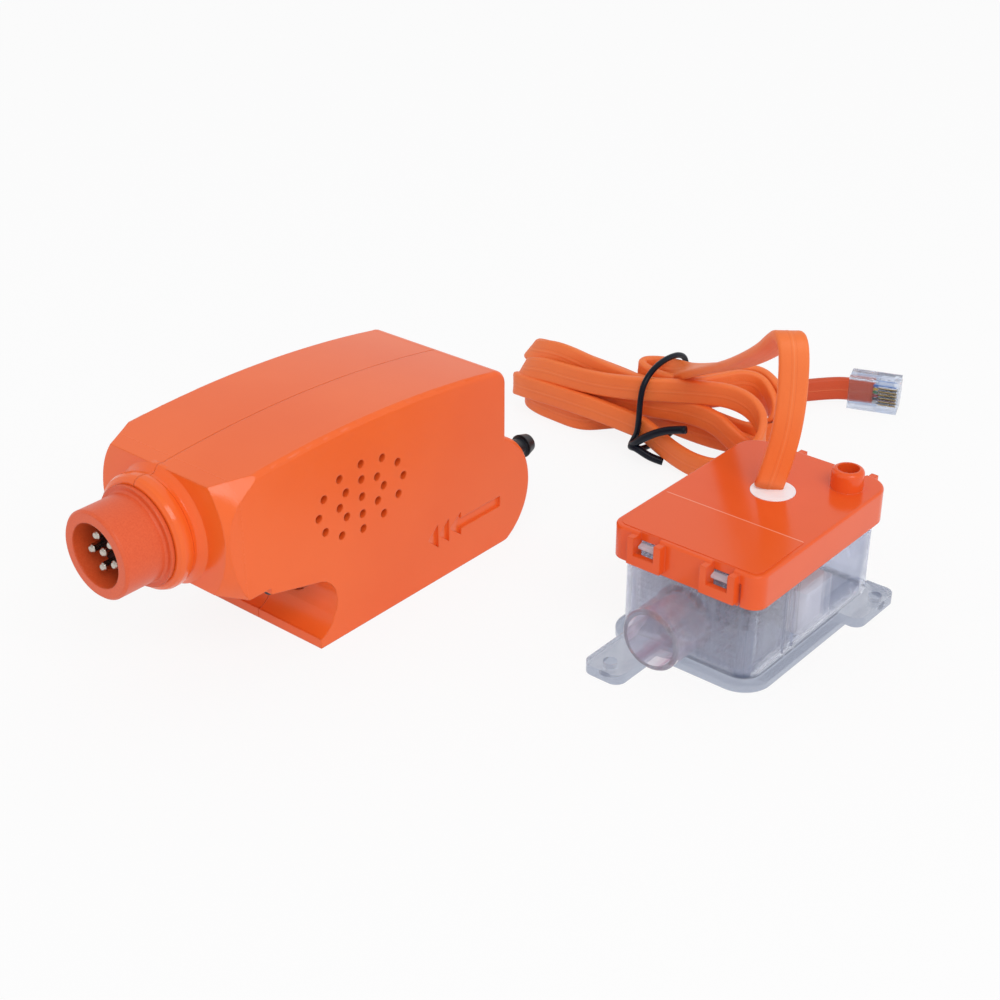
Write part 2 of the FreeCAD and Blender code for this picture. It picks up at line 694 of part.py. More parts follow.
def outlet_fitting():
    shape = fuse([
        barb(OUTLET_TIP_Y, CHANNEL_BACK[0] + 0.5),
        rod_y(FITTING_NECK_RADIUS, CHANNEL_BACK[0] + 0.4, OUTLET_SHOULDER_Y + 0.5, AXIS_X, AXIS_Z),
        rod_y(FITTING_RADIUS, OUTLET_SHOULDER_Y, OUTLET_SOCKET_Y, AXIS_X, AXIS_Z),
    ])
    for radius, y0, y1 in (
        (BARB_BORE_RADIUS, OUTLET_TIP_Y - 1, OUTLET_CHAMBER_Y + 1),
        (CHAMBER_RADIUS, OUTLET_CHAMBER_Y, OUTLET_SEAT_Y),
        (SEAT_RADIUS, OUTLET_SEAT_Y - 1, TUBE_FRONT_Y + 1),
        (TUBE_RADIUS, TUBE_FRONT_Y, OUTLET_SOCKET_Y + 1),
    ):
        shape = shape.cut(rod_y(radius, y0, y1, AXIS_X, AXIS_Z))
    return shape


def inlet_fitting():
    shape = fuse([
        rod_y(FITTING_RADIUS, INLET_SOCKET_Y, INLET_SHOULDER_Y, AXIS_X, AXIS_Z),
        rod_y(FITTING_NECK_RADIUS, INLET_SHOULDER_Y - 0.5, TAIL_Y + 2.4, AXIS_X, AXIS_Z),
        barb(INLET_TIP_Y, TAIL_Y + 2.3),
    ])
    for radius, y0, y1 in (
        (TUBE_RADIUS, INLET_SOCKET_Y - 1, TUBE_REAR_Y),
        (BARB_BORE_RADIUS, TUBE_REAR_Y - 1, INLET_CHAMBER_Y + 1),
        (CHAMBER_RADIUS, INLET_CHAMBER_Y, INLET_SEAT_Y),
        (SEAT_RADIUS, INLET_SEAT_Y - 1, INLET_SEAT_Y + 1.2),
        (BARB_BORE_RADIUS, INLET_SEAT_Y + 1.1, INLET_TIP_Y + 1),
    ):
        shape = shape.cut(rod_y(radius, y0, y1, AXIS_X, AXIS_Z))
    return shape


def valve_ball(seat_y):
    """A check ball on the front side of its seat."""
    stand_off = math.sqrt(BALL_RADIUS ** 2 - SEAT_RADIUS ** 2) + 0.02
    return Part.makeSphere(BALL_RADIUS, V(AXIS_X, seat_y - stand_off, AXIS_Z))


def valve_spring(chamber_y, seat_y):
    stand_off = math.sqrt(BALL_RADIUS ** 2 - SEAT_RADIUS ** 2)
    end_y = seat_y - stand_off - BALL_RADIUS * 0.55
    start_y = chamber_y + RUNNING_GAP
    wire, turns = VALVE_SPRING_WIRE_RADIUS, VALVE_SPRING_TURNS
    return coil_spring(start_y, end_y, AXIS_X, AXIS_Z, VALVE_SPRING_RADIUS, wire, turns)


def piston():
    body = turned_y(
        (
            (PISTON_FRONT_Y, SPRING_RADIUS + SPRING_WIRE_RADIUS),
            (PISTON_FRONT_Y + 0.3, PISTON_RADIUS),
            (PISTON_REAR_Y - 0.3, PISTON_RADIUS),
            (PISTON_REAR_Y, SPRING_RADIUS + SPRING_WIRE_RADIUS),
        ),
        AXIS_X,
        AXIS_Z,
    )
    return body.cut(rod_y(SEAT_RADIUS, PISTON_FRONT_Y - 1, PISTON_REAR_Y + 1, AXIS_X, AXIS_Z))


def bobbin():
    core_front, core_rear = BOBBIN_FRONT_Y, BOBBIN_REAR_Y
    shape = fuse([
        rod_y(BOBBIN_CORE_RADIUS, core_front, core_rear, AXIS_X, AXIS_Z),
        rod_y(BOBBIN_RADIUS, core_front, core_front + BOBBIN_FLANGE, AXIS_X, AXIS_Z),
        rod_y(BOBBIN_RADIUS, core_rear - BOBBIN_FLANGE, core_rear, AXIS_X, AXIS_Z),
    ])
    return shape.cut(rod_y(TUBE_RADIUS + RUNNING_GAP, core_front - 1, core_rear + 1, AXIS_X, AXIS_Z))


def winding():
    y0 = BOBBIN_FRONT_Y + BOBBIN_FLANGE
    y1 = BOBBIN_REAR_Y - BOBBIN_FLANGE
    return ring_y(WINDING_RADIUS, BOBBIN_CORE_RADIUS, y0, y1, AXIS_X, AXIS_Z)


def yoke():
    w = YOKE_HALF_WIDTH
    top = AXIS_Z + BOBBIN_RADIUS + 0.2
    y0, y1 = BOBBIN_FRONT_Y - YOKE_THICKNESS - 0.1, BOBBIN_REAR_Y + YOKE_THICKNESS + 0.1
    low = AXIS_Z - w
    frame = fuse([
        box(AXIS_X - w, AXIS_X + w, y0, y0 + YOKE_THICKNESS, low, top + YOKE_THICKNESS),
        box(AXIS_X - w, AXIS_X + w, y1 - YOKE_THICKNESS, y1, low, top + YOKE_THICKNESS),
        box(AXIS_X - w, AXIS_X + w, y0, y1, top, top + YOKE_THICKNESS),
    ])
    return frame.cut(rod_y(TUBE_RADIUS + RUNNING_GAP, y0 - 1, y1 + 1, AXIS_X, AXIS_Z))


def rubber_mount(y0):
    ring = ring_y(RUBBER_RADIUS, FITTING_RADIUS, y0, y0 + RUBBER_LENGTH, AXIS_X, AXIS_Z)
    groove = ring_y(RUBBER_RADIUS + 1, RUBBER_RADIUS - 0.5, y0 + 1.3, y0 + 1.7, AXIS_X, AXIS_Z)
    return ring.cut(groove)


def circuit_board():
    w = BOARD_HALF_WIDTH
    return box(-w, w, BOARD_FRONT_Y, BOARD_REAR_Y, BOARD_Z, BOARD_Z + BOARD_THICKNESS)


def board_parts():
    """Relay, film capacitor, driver and triac as blocks, then the can, the varistor and the fuse."""
    top = BOARD_Z + BOARD_THICKNESS
    blocks = [box(x0, x1, y0, y1, top, top + high) for x0, x1, y0, y1, high in BOARD_BLOCKS]
    can = rod_z(CAN_RADIUS, top, top + CAN_HEIGHT, *CAN_AT)
    y0, y1 = VARISTOR_Y
    varistor = rod_y(VARISTOR_RADIUS, y0, y1, VARISTOR_X, top + VARISTOR_RADIUS)
    y0, y1 = FUSE_Y
    fuse_link = rod_y(FUSE_RADIUS, y0, y1, FUSE_X, top + FUSE_RADIUS)
    return Part.makeCompound(blocks + [can, varistor, fuse_link])


def thermal_cutout():
    """A small can strapped against the winding's side."""
    x = AXIS_X - WINDING_RADIUS - 2 * RUNNING_GAP
    low, top = AXIS_Z - CUTOUT_HALF_HEIGHT, AXIS_Z + CUTOUT_HALF_HEIGHT
    return box(x - CUTOUT_WIDTH, x, *CUTOUT_Y, low, top)


def jack_frame():
    y1 = REAR_WALL_Y - 0.1
    return y1 - JACK_LENGTH, y1, BOARD_Z + BOARD_THICKNESS


def sensor_jack():
    y0, y1, z0 = jack_frame()
    half, mouth = JACK_WIDTH / 2, JACK_MOUTH[0] / 2
    body = box(-half, half, y0, y1, z0, z0 + JACK_HEIGHT)
    top = z0 + JACK_FLOOR + JACK_MOUTH[1]
    cavity = box(-mouth, mouth, y1 - JACK_DEPTH, y1 + 1, z0 + JACK_FLOOR, top)
    width, depth, rise = JACK_LATCH
    latch_way = box(-width / 2, width / 2, y1 - depth, y1 + 1, top - 1, top + rise)
    return body.cut(cavity).cut(latch_way)


def jack_contacts():
    """Six sprung wires that lean from the back of the jack towards its mouth."""
    _, y1, z0 = jack_frame()
    floor_z = z0 + JACK_FLOOR
    wires = []
    for k in range(CONTACT_COUNT):
        x = (k - (CONTACT_COUNT - 1) / 2) * CONTACT_PITCH
        back = V(x - SPRING_WIRE_RADIUS / 2, y1 - JACK_DEPTH, floor_z + JACK_WIRE_RISE)
        wire = Part.makeBox(SPRING_WIRE_RADIUS, JACK_WIRE_LENGTH, SPRING_WIRE_RADIUS, back)
        wire.rotate(back, V(1, 0, 0), -JACK_WIRE_LEAN)
        wires.append(wire)
    return Part.makeCompound(wires)


def housing_screws():
    screws = []
    x_head = -HALF + SCREW_RECESS
    for y, z in SCREW_POINTS:
        head = rod_x(SCREW_HEAD_RADIUS, x_head - SCREW_HEAD_HEIGHT, x_head, y, z)
        w, r = DRIVE_WIDTH / 2, DRIVE_REACH
        x0, x1 = x_head - SCREW_HEAD_HEIGHT - 1, x_head - SCREW_HEAD_HEIGHT + DRIVE_DEPTH
        cross_z = box(x0, x1, y - w, y + w, z - r, z + r)
        cross_y = box(x0, x1, y - r, y + r, z - w, z + w)
        shank = rod_x(SHANK_RADIUS, x_head - 0.3, SCREW_REACH, y, z)
        screws.append(head.cut(cross_z).cut(cross_y).fuse(shank))
    return Part.makeCompound(screws)


def tank_outline(grow, z0, z1):
    half, r = TANK_HALF + grow, TANK_CORNER + grow
    return slab(-half, half, TANK_FRONT_Y - grow, TANK_REAR_Y + grow, z0, z1, [r] * 4)


def ears():
    r = EAR_CORNER
    front = slab(*FRONT_EAR_X, FRONT_EAR_TIP_Y, TANK_FRONT_Y + 2, 0, EAR_THICKNESS, (r, r, 0, 0))
    right = slab(TANK_HALF - 2, RIGHT_EAR_TIP_X, *RIGHT_EAR_Y, 0, EAR_THICKNESS, (0, r, r, 0))
    return [front, right]


def lugs():
    """Snap lugs on the front and rear walls, sloped on top."""
    low, half = LUG_BOTTOM_Z, LOOP_WIDTH / 2 - LOOP_POST - LUG_GAP
    shapes = []
    for face_y, s in ((TANK_FRONT_Y, -1), (TANK_REAR_Y, 1)):
        for x in LOOP_CENTRES_X:
            y_out = face_y + s * LUG_REACH
            y_in = face_y - s * 0.5
            profile = [(y_in, low), (y_out, low + 0.3), (y_out, low + 0.9), (y_in, TANK_TOP_Z)]
            points = [V(x - half, y, z) for y, z in profile]
            face = Part.Face(Part.makePolygon(points + [points[0]]))
            shapes.append(face.extrude(V(2 * half, 0, 0)))
    return shapes


def suction_spigot():
    y0 = TANK_REAR_Y - 0.5
    tip = TANK_REAR_Y + SPIGOT_LENGTH
    profile = [(y0, SPIGOT_ROOT_RADIUS), (tip - 6.4, SPIGOT_ROOT_RADIUS)]
    for k in range(2):
        y = tip - 6.4 + 3.2 * k
        profile += [(y + 0.01, SPIGOT_RADIUS), (y + 0.4, SPIGOT_RADIUS), (y + 3.19, SPIGOT_ROOT_RADIUS)]
    return turned_y(profile, 0.0, SPIGOT_Z)


def tank():
    shape = tank_outline(0, 0, TANK_TOP_Z).fuse(tank_outline(RIM_REACH, 0, RIM_THICKNESS))
    inlet_flare = turned_y(
        (
            (INLET_TUBE_END_Y, INLET_TUBE_RADIUS - 0.4),
            (INLET_TUBE_END_Y + 0.4, INLET_TUBE_RADIUS),
            (TANK_FRONT_Y - 2.0, INLET_TUBE_RADIUS),
            (TANK_FRONT_Y + 0.6, INLET_TUBE_RADIUS + 0.6),
        ),
        0.0,
        INLET_TUBE_Z,
    )
    for extra in ears() + lugs() + [inlet_flare, suction_spigot()]:
        shape = shape.fuse(extra)
    w = TANK_WALL
    hollow = tank_outline(-w, TANK_FLOOR, TANK_TOP_Z + 1)
    ribs = []
    for y in GUIDE_RIBS_Y:
        for side in (-1, 1):
            x0, x1 = sorted((side * (TANK_HALF - w - GUIDE_RIB), side * (TANK_HALF - w + 0.5)))
            ribs.append(box(x0, x1, y, y + GUIDE_RIB_THICKNESS, TANK_FLOOR - 0.5, GUIDE_RIB_TOP_Z))
    shape = shape.cut(hollow)
    for rib in ribs:
        shape = shape.fuse(rib)
    cuts = [
        rod_y(INLET_TUBE_BORE, INLET_TUBE_END_Y - 1, TANK_FRONT_Y + w + 1, 0, INLET_TUBE_Z),
        rod_y(SPIGOT_BORE, TANK_REAR_Y - w - 1, TANK_REAR_Y + SPIGOT_LENGTH + 1, 0, SPIGOT_Z),
        rod_z(EAR_HOLE_RADIUS, -1, EAR_THICKNESS + 1, *FRONT_EAR_HOLE),
        rod_z(EAR_HOLE_RADIUS, -1, EAR_THICKNESS + 1, *RIGHT_EAR_HOLE),
    ]
    for cut in cuts:
        shape = shape.cut(cut)
    return shape.removeSplitter()


def strainer():
    """A basket behind the inlet: its comb plate stands between the tank's guide ribs."""
    t = STRAINER_WALL
    w = TANK_HALF - TANK_WALL - GUIDE_RIB - STRAINER_GAP
    comb_half = TANK_HALF - TANK_WALL - STRAINER_GAP
    y0 = TANK_FRONT_Y + TANK_WALL + STRAINER_FRONT_GAP
    comb_y = GUIDE_RIBS_Y[0] + GUIDE_RIB_THICKNESS + STRAINER_GAP
    back_y = comb_y + t
    z0, z1 = TANK_FLOOR + STRAINER_GAP, STRAINER_TOP_Z
    r = TANK_CORNER - TANK_WALL - 2 * STRAINER_GAP
    basket = slab(-w, w, y0, back_y, z0, z1, (r, r, 0, 0))
    basket = basket.cut(slab(-w + t, w - t, y0 + t, back_y + 1, z0 + t, z1 + 1, (r - t, r - t, 0, 0)))
    comb = box(-comb_half, comb_half, comb_y, back_y, z0, z1)
    cuts = [rod_y(INLET_TUBE_BORE + STRAINER_GAP, y0 - 1, y0 + t + 1, 0, INLET_TUBE_Z)]
    grid_z = [STRAINER_TOP_Z - GRID_DROP - GRID_PITCH * j for j in range(GRID_ROWS)]
    for z in grid_z[:FRONT_GRID]:
        for i in range(FRONT_GRID):
            x = w - GRID_SIDE - GRID_PITCH * i
            cuts.append(box(x - GRID_HOLE, x, y0 - 1, y0 + r, z - GRID_HOLE, z))
    for k in range(LOUVRES):
        z = INLET_TUBE_Z - GRID_SIDE - LOUVRE_PITCH * k
        cuts.append(box(w - LOUVRE_REACH, w - r, y0 - 1, y0 + t + 1, z - LOUVRE_HEIGHT, z))
    for k in range(-COMB_SIDE_SLOTS, COMB_SIDE_SLOTS + 1):
        x, half = COMB_PITCH * k, COMB_SLOT / 2
        cuts.append(box(x - half, x + half, comb_y - 1, back_y + 1, z0 + 2 * t, z1 - 2 * t))
    for z in grid_z:
        for i in range(GRID_ROWS):
            y = y0 + r + GRID_PITCH * i
            cuts.append(box(w - t - 1, w + 1, y, y + GRID_HOLE, z - GRID_HOLE, z))
    return basket.fuse(comb).removeSplitter().cut(Part.makeCompound(cuts))


def float_block():
    half = TANK_HALF - TANK_WALL - FLOAT_SIDE_GAP
    z0, z1 = FLOAT_BOTTOM_Z, FLOAT_BOTTOM_Z + FLOAT_HEIGHT
    block = slab(-half, half, FLOAT_FRONT_Y, FLOAT_REAR_Y, z0, z1, [FLOAT_CORNER] * 4)
    block = block.cut(rod_z(FLOAT_HOLE_RADIUS, z0 - 1, z1 + 1, *STEM_AT))
    return block.cut(rod_z(MAGNET_RADIUS, z0 - 1, z0 + MAGNET_HEIGHT, *STEM_AT))


def float_magnet():
    z0 = FLOAT_BOTTOM_Z + 0.1
    z1 = FLOAT_BOTTOM_Z + MAGNET_HEIGHT
    ring = rod_z(MAGNET_RADIUS - 0.02, z0, z1, *STEM_AT)
    return ring.cut(rod_z(FLOAT_HOLE_RADIUS, z0 - 1, z1 + 1, *STEM_AT))


def lid_outline(inset, z0, z1):
    f, r = LID_FRONT_CORNER - inset, LID_REAR_CORNER - inset
    h = LID_WIDTH / 2 - inset
    return slab(-h, h, inset, LID_LENGTH - inset, z0, z1, (f, f, r, r))


def snap_loops(face_y, s):
    """U-shaped snap loops on one end: two posts and a bar, open at the top."""
    adds, cuts = [], []
    y_out = face_y + s * LOOP_REACH
    y_in = y_out - s * LOOP_WALL
    y_deep = face_y - s * (SKIRT_WALL + 1.0)
    for x in LOOP_CENTRES_X:
        x0, x1 = x - LOOP_WIDTH / 2, x + LOOP_WIDTH / 2
        lo, hi = sorted((y_out, face_y - s * 0.6))
        adds.append(box(x0, x1, lo, hi, LOOP_BOTTOM_Z, LID_TOP_Z - 0.5))
        lo, hi = sorted((y_in, y_deep))
        cuts.append(box(x0 + LOOP_POST, x1 - LOOP_POST, lo, hi, SKIRT_BOTTOM_Z - 1, LID_TOP_Z - LID_PLATE))
        lo, hi = sorted((y_out + s, y_deep))
        cuts.append(box(x0 + LOOP_POST, x1 - LOOP_POST, lo, hi, LOOP_BAR_TOP_Z, LID_TOP_Z - LID_PLATE))
        lo, hi = sorted((y_out + s, face_y - s * 0.9))
        cuts.append(box(x0 + LOOP_POST, x1 - LOOP_POST, lo, hi, LOOP_BAR_TOP_Z, LID_TOP_Z + 1))
        side = 1 if x > 0 else -1
        edge = x + side * LOOP_WIDTH / 2
        lo, hi = sorted((edge, edge + side * LOOP_SLOT))
        y_lo, y_hi = sorted((y_out + s, y_deep))
        cuts.append(box(lo, hi, y_lo, y_hi, SKIRT_BOTTOM_Z - 1, LID_TOP_Z - LID_PLATE - 0.6))
    return adds, cuts


def lid():
    plate = lid_outline(0, SKIRT_BOTTOM_Z, LID_TOP_Z)
    top_edges = [e for e in plate.Edges if e.BoundBox.ZMin > LID_TOP_Z - 0.01]
    shape = plate.makeFillet(0.6, top_edges)
    shape = shape.cut(lid_outline(SKIRT_WALL, SKIRT_BOTTOM_Z - 1, LID_TOP_Z - LID_PLATE))
    for face_y, s in ((0.0, -1), (LID_LENGTH, 1)):
        adds, cuts = snap_loops(face_y, s)
        for add in adds:
            shape = shape.fuse(add)
        for cut in cuts:
            shape = shape.cut(cut)
    under = LID_TOP_Z - LID_PLATE
    pocket_wall = DISC_RADIUS + 1.2
    shape = shape.fuse(rod_z(pocket_wall, under - 3.2, under + 0.5, *DISC_AT))
    shape = shape.fuse(rod_z(STEM_RADIUS, STEM_BOTTOM_Z, under + 0.5, *STEM_AT))
    vent = rod_z(VENT_TUBE_RADIUS, under, VENT_TUBE_TOP_Z, *VENT_TUBE_AT)
    rim = [e for e in vent.Edges if e.BoundBox.ZMin > VENT_TUBE_TOP_Z - 0.01 and e.BoundBox.XLength > 1]
    shape = shape.fuse(vent.makeFillet(1.1, rim))
    cuts = [
        rod_z(VENT_TUBE_BORE, under - 1, VENT_TUBE_TOP_Z + 1, *VENT_TUBE_AT),
        rod_z(DISC_RADIUS, under - 2.2, LID_TOP_Z + 1, *DISC_AT),
        rod_z(STEM_RADIUS - STEM_WALL, STEM_BOTTOM_Z + STEM_WALL, under - 2.4, *STEM_AT),
    ]
    for cut in cuts:
        shape = shape.cut(cut)
    return shape.removeSplitter()


def sensor_board():
    x, y = STEM_AT
    half, t = (STEM_RADIUS - STEM_WALL) * 0.94, SENSOR_BOARD_THICKNESS / 2
    low = STEM_BOTTOM_Z + STEM_WALL + 0.2
    return box(x - half, x + half, y - t, y + t, low, LID_TOP_Z - LID_PLATE - 2.5)


def potting_disc():
    low = LID_TOP_Z - LID_PLATE - 2.2
    return rod_z(DISC_RADIUS, low, LID_TOP_Z + DISC_PROUD, *DISC_AT)


def lid_label():
    h = LID_WIDTH / 2 - LABEL_MARGIN
    top = LID_TOP_Z + LABEL_THICKNESS
    front, rear = LID_FRONT_CORNER - LABEL_MARGIN, LABEL_REAR_CORNER
    y1 = LABEL_MARGIN + LABEL_LENGTH
    return slab(-h, h, LABEL_MARGIN, y1, LID_TOP_Z, top, (front, front, rear, rear))


def cord_tube(route, radius):
    """A round tube along straight runs joined by tangent arcs; it also reports its radii."""
    points = [V(*p) for p in route]
    edges = []
    radii = []
    last = points[0]
    for a, b, c in zip(points, points[1:], points[2:]):
        before, after = (a - b), (c - b)
        short = min(before.Length, after.Length)
        u, w = before.normalize(), after.normalize()
        turn = math.pi - u.getAngle(w)
        cut_back = 0.45 * short
        radii.append(cut_back / math.tan(turn / 2))
        start, end = b + u * cut_back, b + w * cut_back
        bisector = (u + w).normalize()
        radius_here = radii[-1]
        to_mid = radius_here / math.cos(turn / 2) - radius_here
        mid = b + bisector * to_mid
        edges.append(Part.makeLine(last, start))
        edges.append(Part.Arc(start, mid, end).toShape())
        last = end
    edges.append(Part.makeLine(last, points[-1]))
    path = Part.Wire(edges)
    direction = (points[1] - points[0]).normalize()
    section = Part.Wire(Part.makeCircle(radius, points[0], direction))
    tube = path.makePipeShell([section], True, False)
    ideal = math.pi * radius ** 2 * path.Length
    print("cord length", round(path.Length, 1), "radii", [round(r, 1) for r in radii])
    print("volume against section times length", round(tube.Volume / ideal, 4))
    return tube


def cable_riser():
    return cord_tube(RISER_ROUTE, CABLE_TUBE_RADIUS)


def cable_tail():
    return cord_tube(TAIL_ROUTE, CABLE_TUBE_RADIUS)


def cable_hank():
    """The tied bundle as one closed solid: a plan outline crossed with a side outline."""
    a, b, f, r = HANK_LEFT_X, HANK_RIGHT_X, HANK_FRONT_Y, HANK_REAR_Y
    mid, fan = (f + r) / 2, HANK_FAN_REAR_Y
    plan = Part.Face(Part.Wire([
        arc((a + 9, r - 2), (a, mid), (a + 9, f + 2), 0),
        Part.makeLine(V(a + 9, f + 2, 0), V(TIE_X, f, 0)),
        Part.makeLine(V(TIE_X, f, 0), V(b - 14, f - 1, 0)),
        arc((b - 14, f - 1), (b, mid + 3), (b - 13, fan), 0),
        arc((b - 13, fan), ((TIE_X + b) / 2 - 8, r + 4), (TIE_X, r), 0),
        Part.makeLine(V(TIE_X, r, 0), V(a + 9, r - 2, 0)),
    ])).extrude(V(0, 0, HANK_TOP_Z))
    top, low = HANK_TOP_Z, HANK_LEFT_TOP_Z
    side = Part.Face(Part.makePolygon([
        V(a, f - 5, 0), V(b, f - 5, 0), V(b, f - 5, top - 6), V(b - 9, f - 5, top - 1),
        V(TIE_X, f - 5, top), V(a + 7, f - 5, top - 1), V(a, f - 5, low), V(a, f - 5, 0),
    ])).extrude(V(0, fan - f + 10, 0))
    return plan.common(side).cut(tie_loop(2 * f, RUNNING_GAP))


def across(shape, x):
    """Turns a piece drawn flat in (y, z) as (x, y) so that it stands across X at x."""
    shape = shape.copy()
    shape.rotate(V(0, 0, 0), V(1, 1, 1), 120)
    shape.translate(V(x, 0, 0))
    return shape


def tie_loop(reach, gap):
    """The strap round the hank's waist: a ring reaching outwards from its inner line by reach."""
    d = 2 * TIE_WIRE_RADIUS + gap
    y0, y1, top = HANK_FRONT_Y, HANK_REAR_Y, HANK_TOP_Z
    c = TIE_CORNER - TIE_WIRE_RADIUS
    out = reach - d
    outer = slab(y0 - out, y1 + out, -out, top + out, 0, d + gap, [c + max(reach, d)] * 4)
    core = slab(y0 + d, y1 - d, d, top - d, -1, d + gap + 1, [c] * 4)
    return across(outer.cut(core), TIE_X - d / 2 - gap / 2)


def cable_tie():
    """A coated wire bent round the hank's waist, its two tails knotted low at the front."""
    r = TIE_WIRE_RADIUS
    knot_at = V(TIE_X, HANK_FRONT_Y + r - TIE_KNOT_OUT, TIE_KNOT_Z)
    knot = Part.makeBox(4 * r, 2 * TIE_KNOT_OUT, 4 * r, knot_at - V(2 * r, TIE_KNOT_OUT, 2 * r))
    upper = Part.makeCylinder(r, TIE_UPPER_TAIL, knot_at, V(0.8, -0.25, 0.55))
    lower = Part.makeCylinder(r, TIE_LOWER_TAIL, knot_at, V(0.95, -0.2, -0.12))
    return fuse([tie_loop(2 * r, 0.0), knot, upper, lower])


def plug_place(shape):
    """Moves a piece drawn along +X from the origin to the cable's end, lying on its side."""
    a, b = V(*TAIL_ROUTE[-2]), V(*TAIL_ROUTE[-1])
    heading = math.degrees(math.atan2(b.y - a.y, b.x - a.x))
    shape = shape.copy()
    shape.rotate(V(0, 0, 0), V(0, 0, 1), heading)
    shape.translate(V(b.x, b.y, 0))
    return shape


def plug_body():
    """The clear modular plug, lying on its side: cable entry at the rear, latch block on the left."""
    h, w = PLUG_HEIGHT / 2, PLUG_WIDTH
    mid = w / 2 + PLUG_LIFT
    body = box(-PLUG_SLEEVE, PLUG_LENGTH - PLUG_SLEEVE, -h, h, PLUG_LIFT, w + PLUG_LIFT)
    nose = PLUG_LENGTH - PLUG_SLEEVE
    w2 = LATCH_WIDTH / 2
    block = box(nose - LATCH_BLOCK[0], nose, h - 0.5, h + LATCH_BLOCK[1], mid - w2, mid + w2)
    wide, tall = PLUG_ENTRY[1] / 2, PLUG_ENTRY[0] / 2
    entry = box(-PLUG_SLEEVE - 1, PLUG_ENTRY_DEPTH, -wide, wide, mid - tall, mid + tall)
    slots = []
    for k in range(CONTACT_COUNT):
        z = mid + (k - (CONTACT_COUNT - 1) / 2) * CONTACT_PITCH
        x0, half = nose - CONTACT_LENGTH - CONTACT_GAP, CONTACT_SLOT / 2
        slots.append(box(x0, nose + 1, -h - 1, -h + CONTACT_SLOT_DEPTH, z - half, z + half))
    return body.fuse(block).cut(Part.makeCompound([entry] + slots))


def plug_contacts():
    h = PLUG_HEIGHT / 2
    mid = PLUG_WIDTH / 2 + PLUG_LIFT
    nose = PLUG_LENGTH - PLUG_SLEEVE
    t = CONTACT_THICKNESS
    blades = []
    for k in range(CONTACT_COUNT):
        z = mid + (k - (CONTACT_COUNT - 1) / 2) * CONTACT_PITCH
        low, top = -h + CONTACT_GAP, -h + CONTACT_SLOT_DEPTH
        blades.append(box(nose - CONTACT_LENGTH, nose - CONTACT_GAP, low, top, z - t / 2, z + t / 2))
    return Part.makeCompound(blades)


def latch_pivot():
    """The latch's hinge line in the plug's own frame, just behind the block on its nose."""
    back_x = PLUG_LENGTH - PLUG_SLEEVE - LATCH_BLOCK[0]
    return V(back_x, PLUG_HEIGHT / 2 + LATCH_BLOCK[1] - LATCH_THICKNESS / 2, 0)


def plug_latch():
    """The sprung tongue on the plug's back, leaning away from it towards the cable."""
    pivot = latch_pivot()
    mid = PLUG_WIDTH / 2 + PLUG_LIFT
    t, w = LATCH_THICKNESS, LATCH_WIDTH / 2
    hinge = rod_z(t / 2, mid - w, mid + w, pivot.x - t / 2 - LATCH_GAP, pivot.y)
    wide = box(-LATCH_NECK - 0.5, 0, -t / 2, t / 2, mid - w, mid + w)
    tip = LATCH_TIP_WIDTH / 2
    narrow = box(-LATCH_LENGTH, -LATCH_NECK, -t / 2, t / 2, mid - tip, mid + tip)
    tongue = wide.fuse(narrow)
    tongue.rotate(V(0, 0, 0), V(0, 0, 1), -LATCH_ANGLE)
    tongue.translate(V(pivot.x - t / 2 - LATCH_GAP, pivot.y, 0))
    return fuse([hinge, tongue])


def wire_piston_spring(y0, y1):
    return coil_spring(y0, y1, AXIS_X, AXIS_Z, SPRING_RADIUS, SPRING_WIRE_RADIUS, SPRING_TURNS)


def pump_pieces():
    left, right = housing()
    return {
        "housing_left": left,
        "housing_right": right,
        "connector_shell": connector_shell(),
        "pin_carrier": pin_carrier(),
        "connector_pins": connector_pins(),
        "outlet_fitting": outlet_fitting(),
        "inlet_fitting": inlet_fitting(),
        "pump_cylinder": ring_y(TUBE_RADIUS, TUBE_BORE_RADIUS, TUBE_FRONT_Y, TUBE_REAR_Y, AXIS_X, AXIS_Z),
        "piston": piston(),
        "piston_spring_front": wire_piston_spring(TUBE_FRONT_Y, PISTON_FRONT_Y),
        "piston_spring_rear": wire_piston_spring(PISTON_REAR_Y, TUBE_REAR_Y),
        "outlet_ball": valve_ball(OUTLET_SEAT_Y),
        "outlet_spring": valve_spring(OUTLET_CHAMBER_Y, OUTLET_SEAT_Y),
        "inlet_ball": valve_ball(INLET_SEAT_Y),
        "inlet_spring": valve_spring(INLET_CHAMBER_Y, INLET_SEAT_Y),
        "coil_bobbin": bobbin(),
        "coil_winding": winding(),
        "yoke": yoke(),
        "rubber_mount_front": rubber_mount(FRONT_RUBBER_Y),
        "rubber_mount_rear": rubber_mount(REAR_RUBBER_Y),
        "thermal_cutout": thermal_cutout(),
        "circuit_board": circuit_board(),
        "board_parts": board_parts(),
        "sensor_jack": sensor_jack(),
        "jack_contacts": jack_contacts(),
        "housing_screws": housing_screws(),
    }


def reservoir_pieces():
    return {
        "tank": tank(),
        "strainer": strainer(),
        "float": float_block(),
        "float_magnet": float_magnet(),
        "lid": lid(),
        "sensor_board": sensor_board(),
        "potting_disc": potting_disc(),
        "lid_label": lid_label(),
        "cable_riser": cable_riser(),
        "cable_hank": cable_hank(),
        "cable_tail": cable_tail(),
        "cable_tie": cable_tie(),
        "plug_body": plug_place(plug_body()),
        "plug_contacts": plug_place(plug_contacts()),
        "plug_latch": plug_place(plug_latch()),
    }


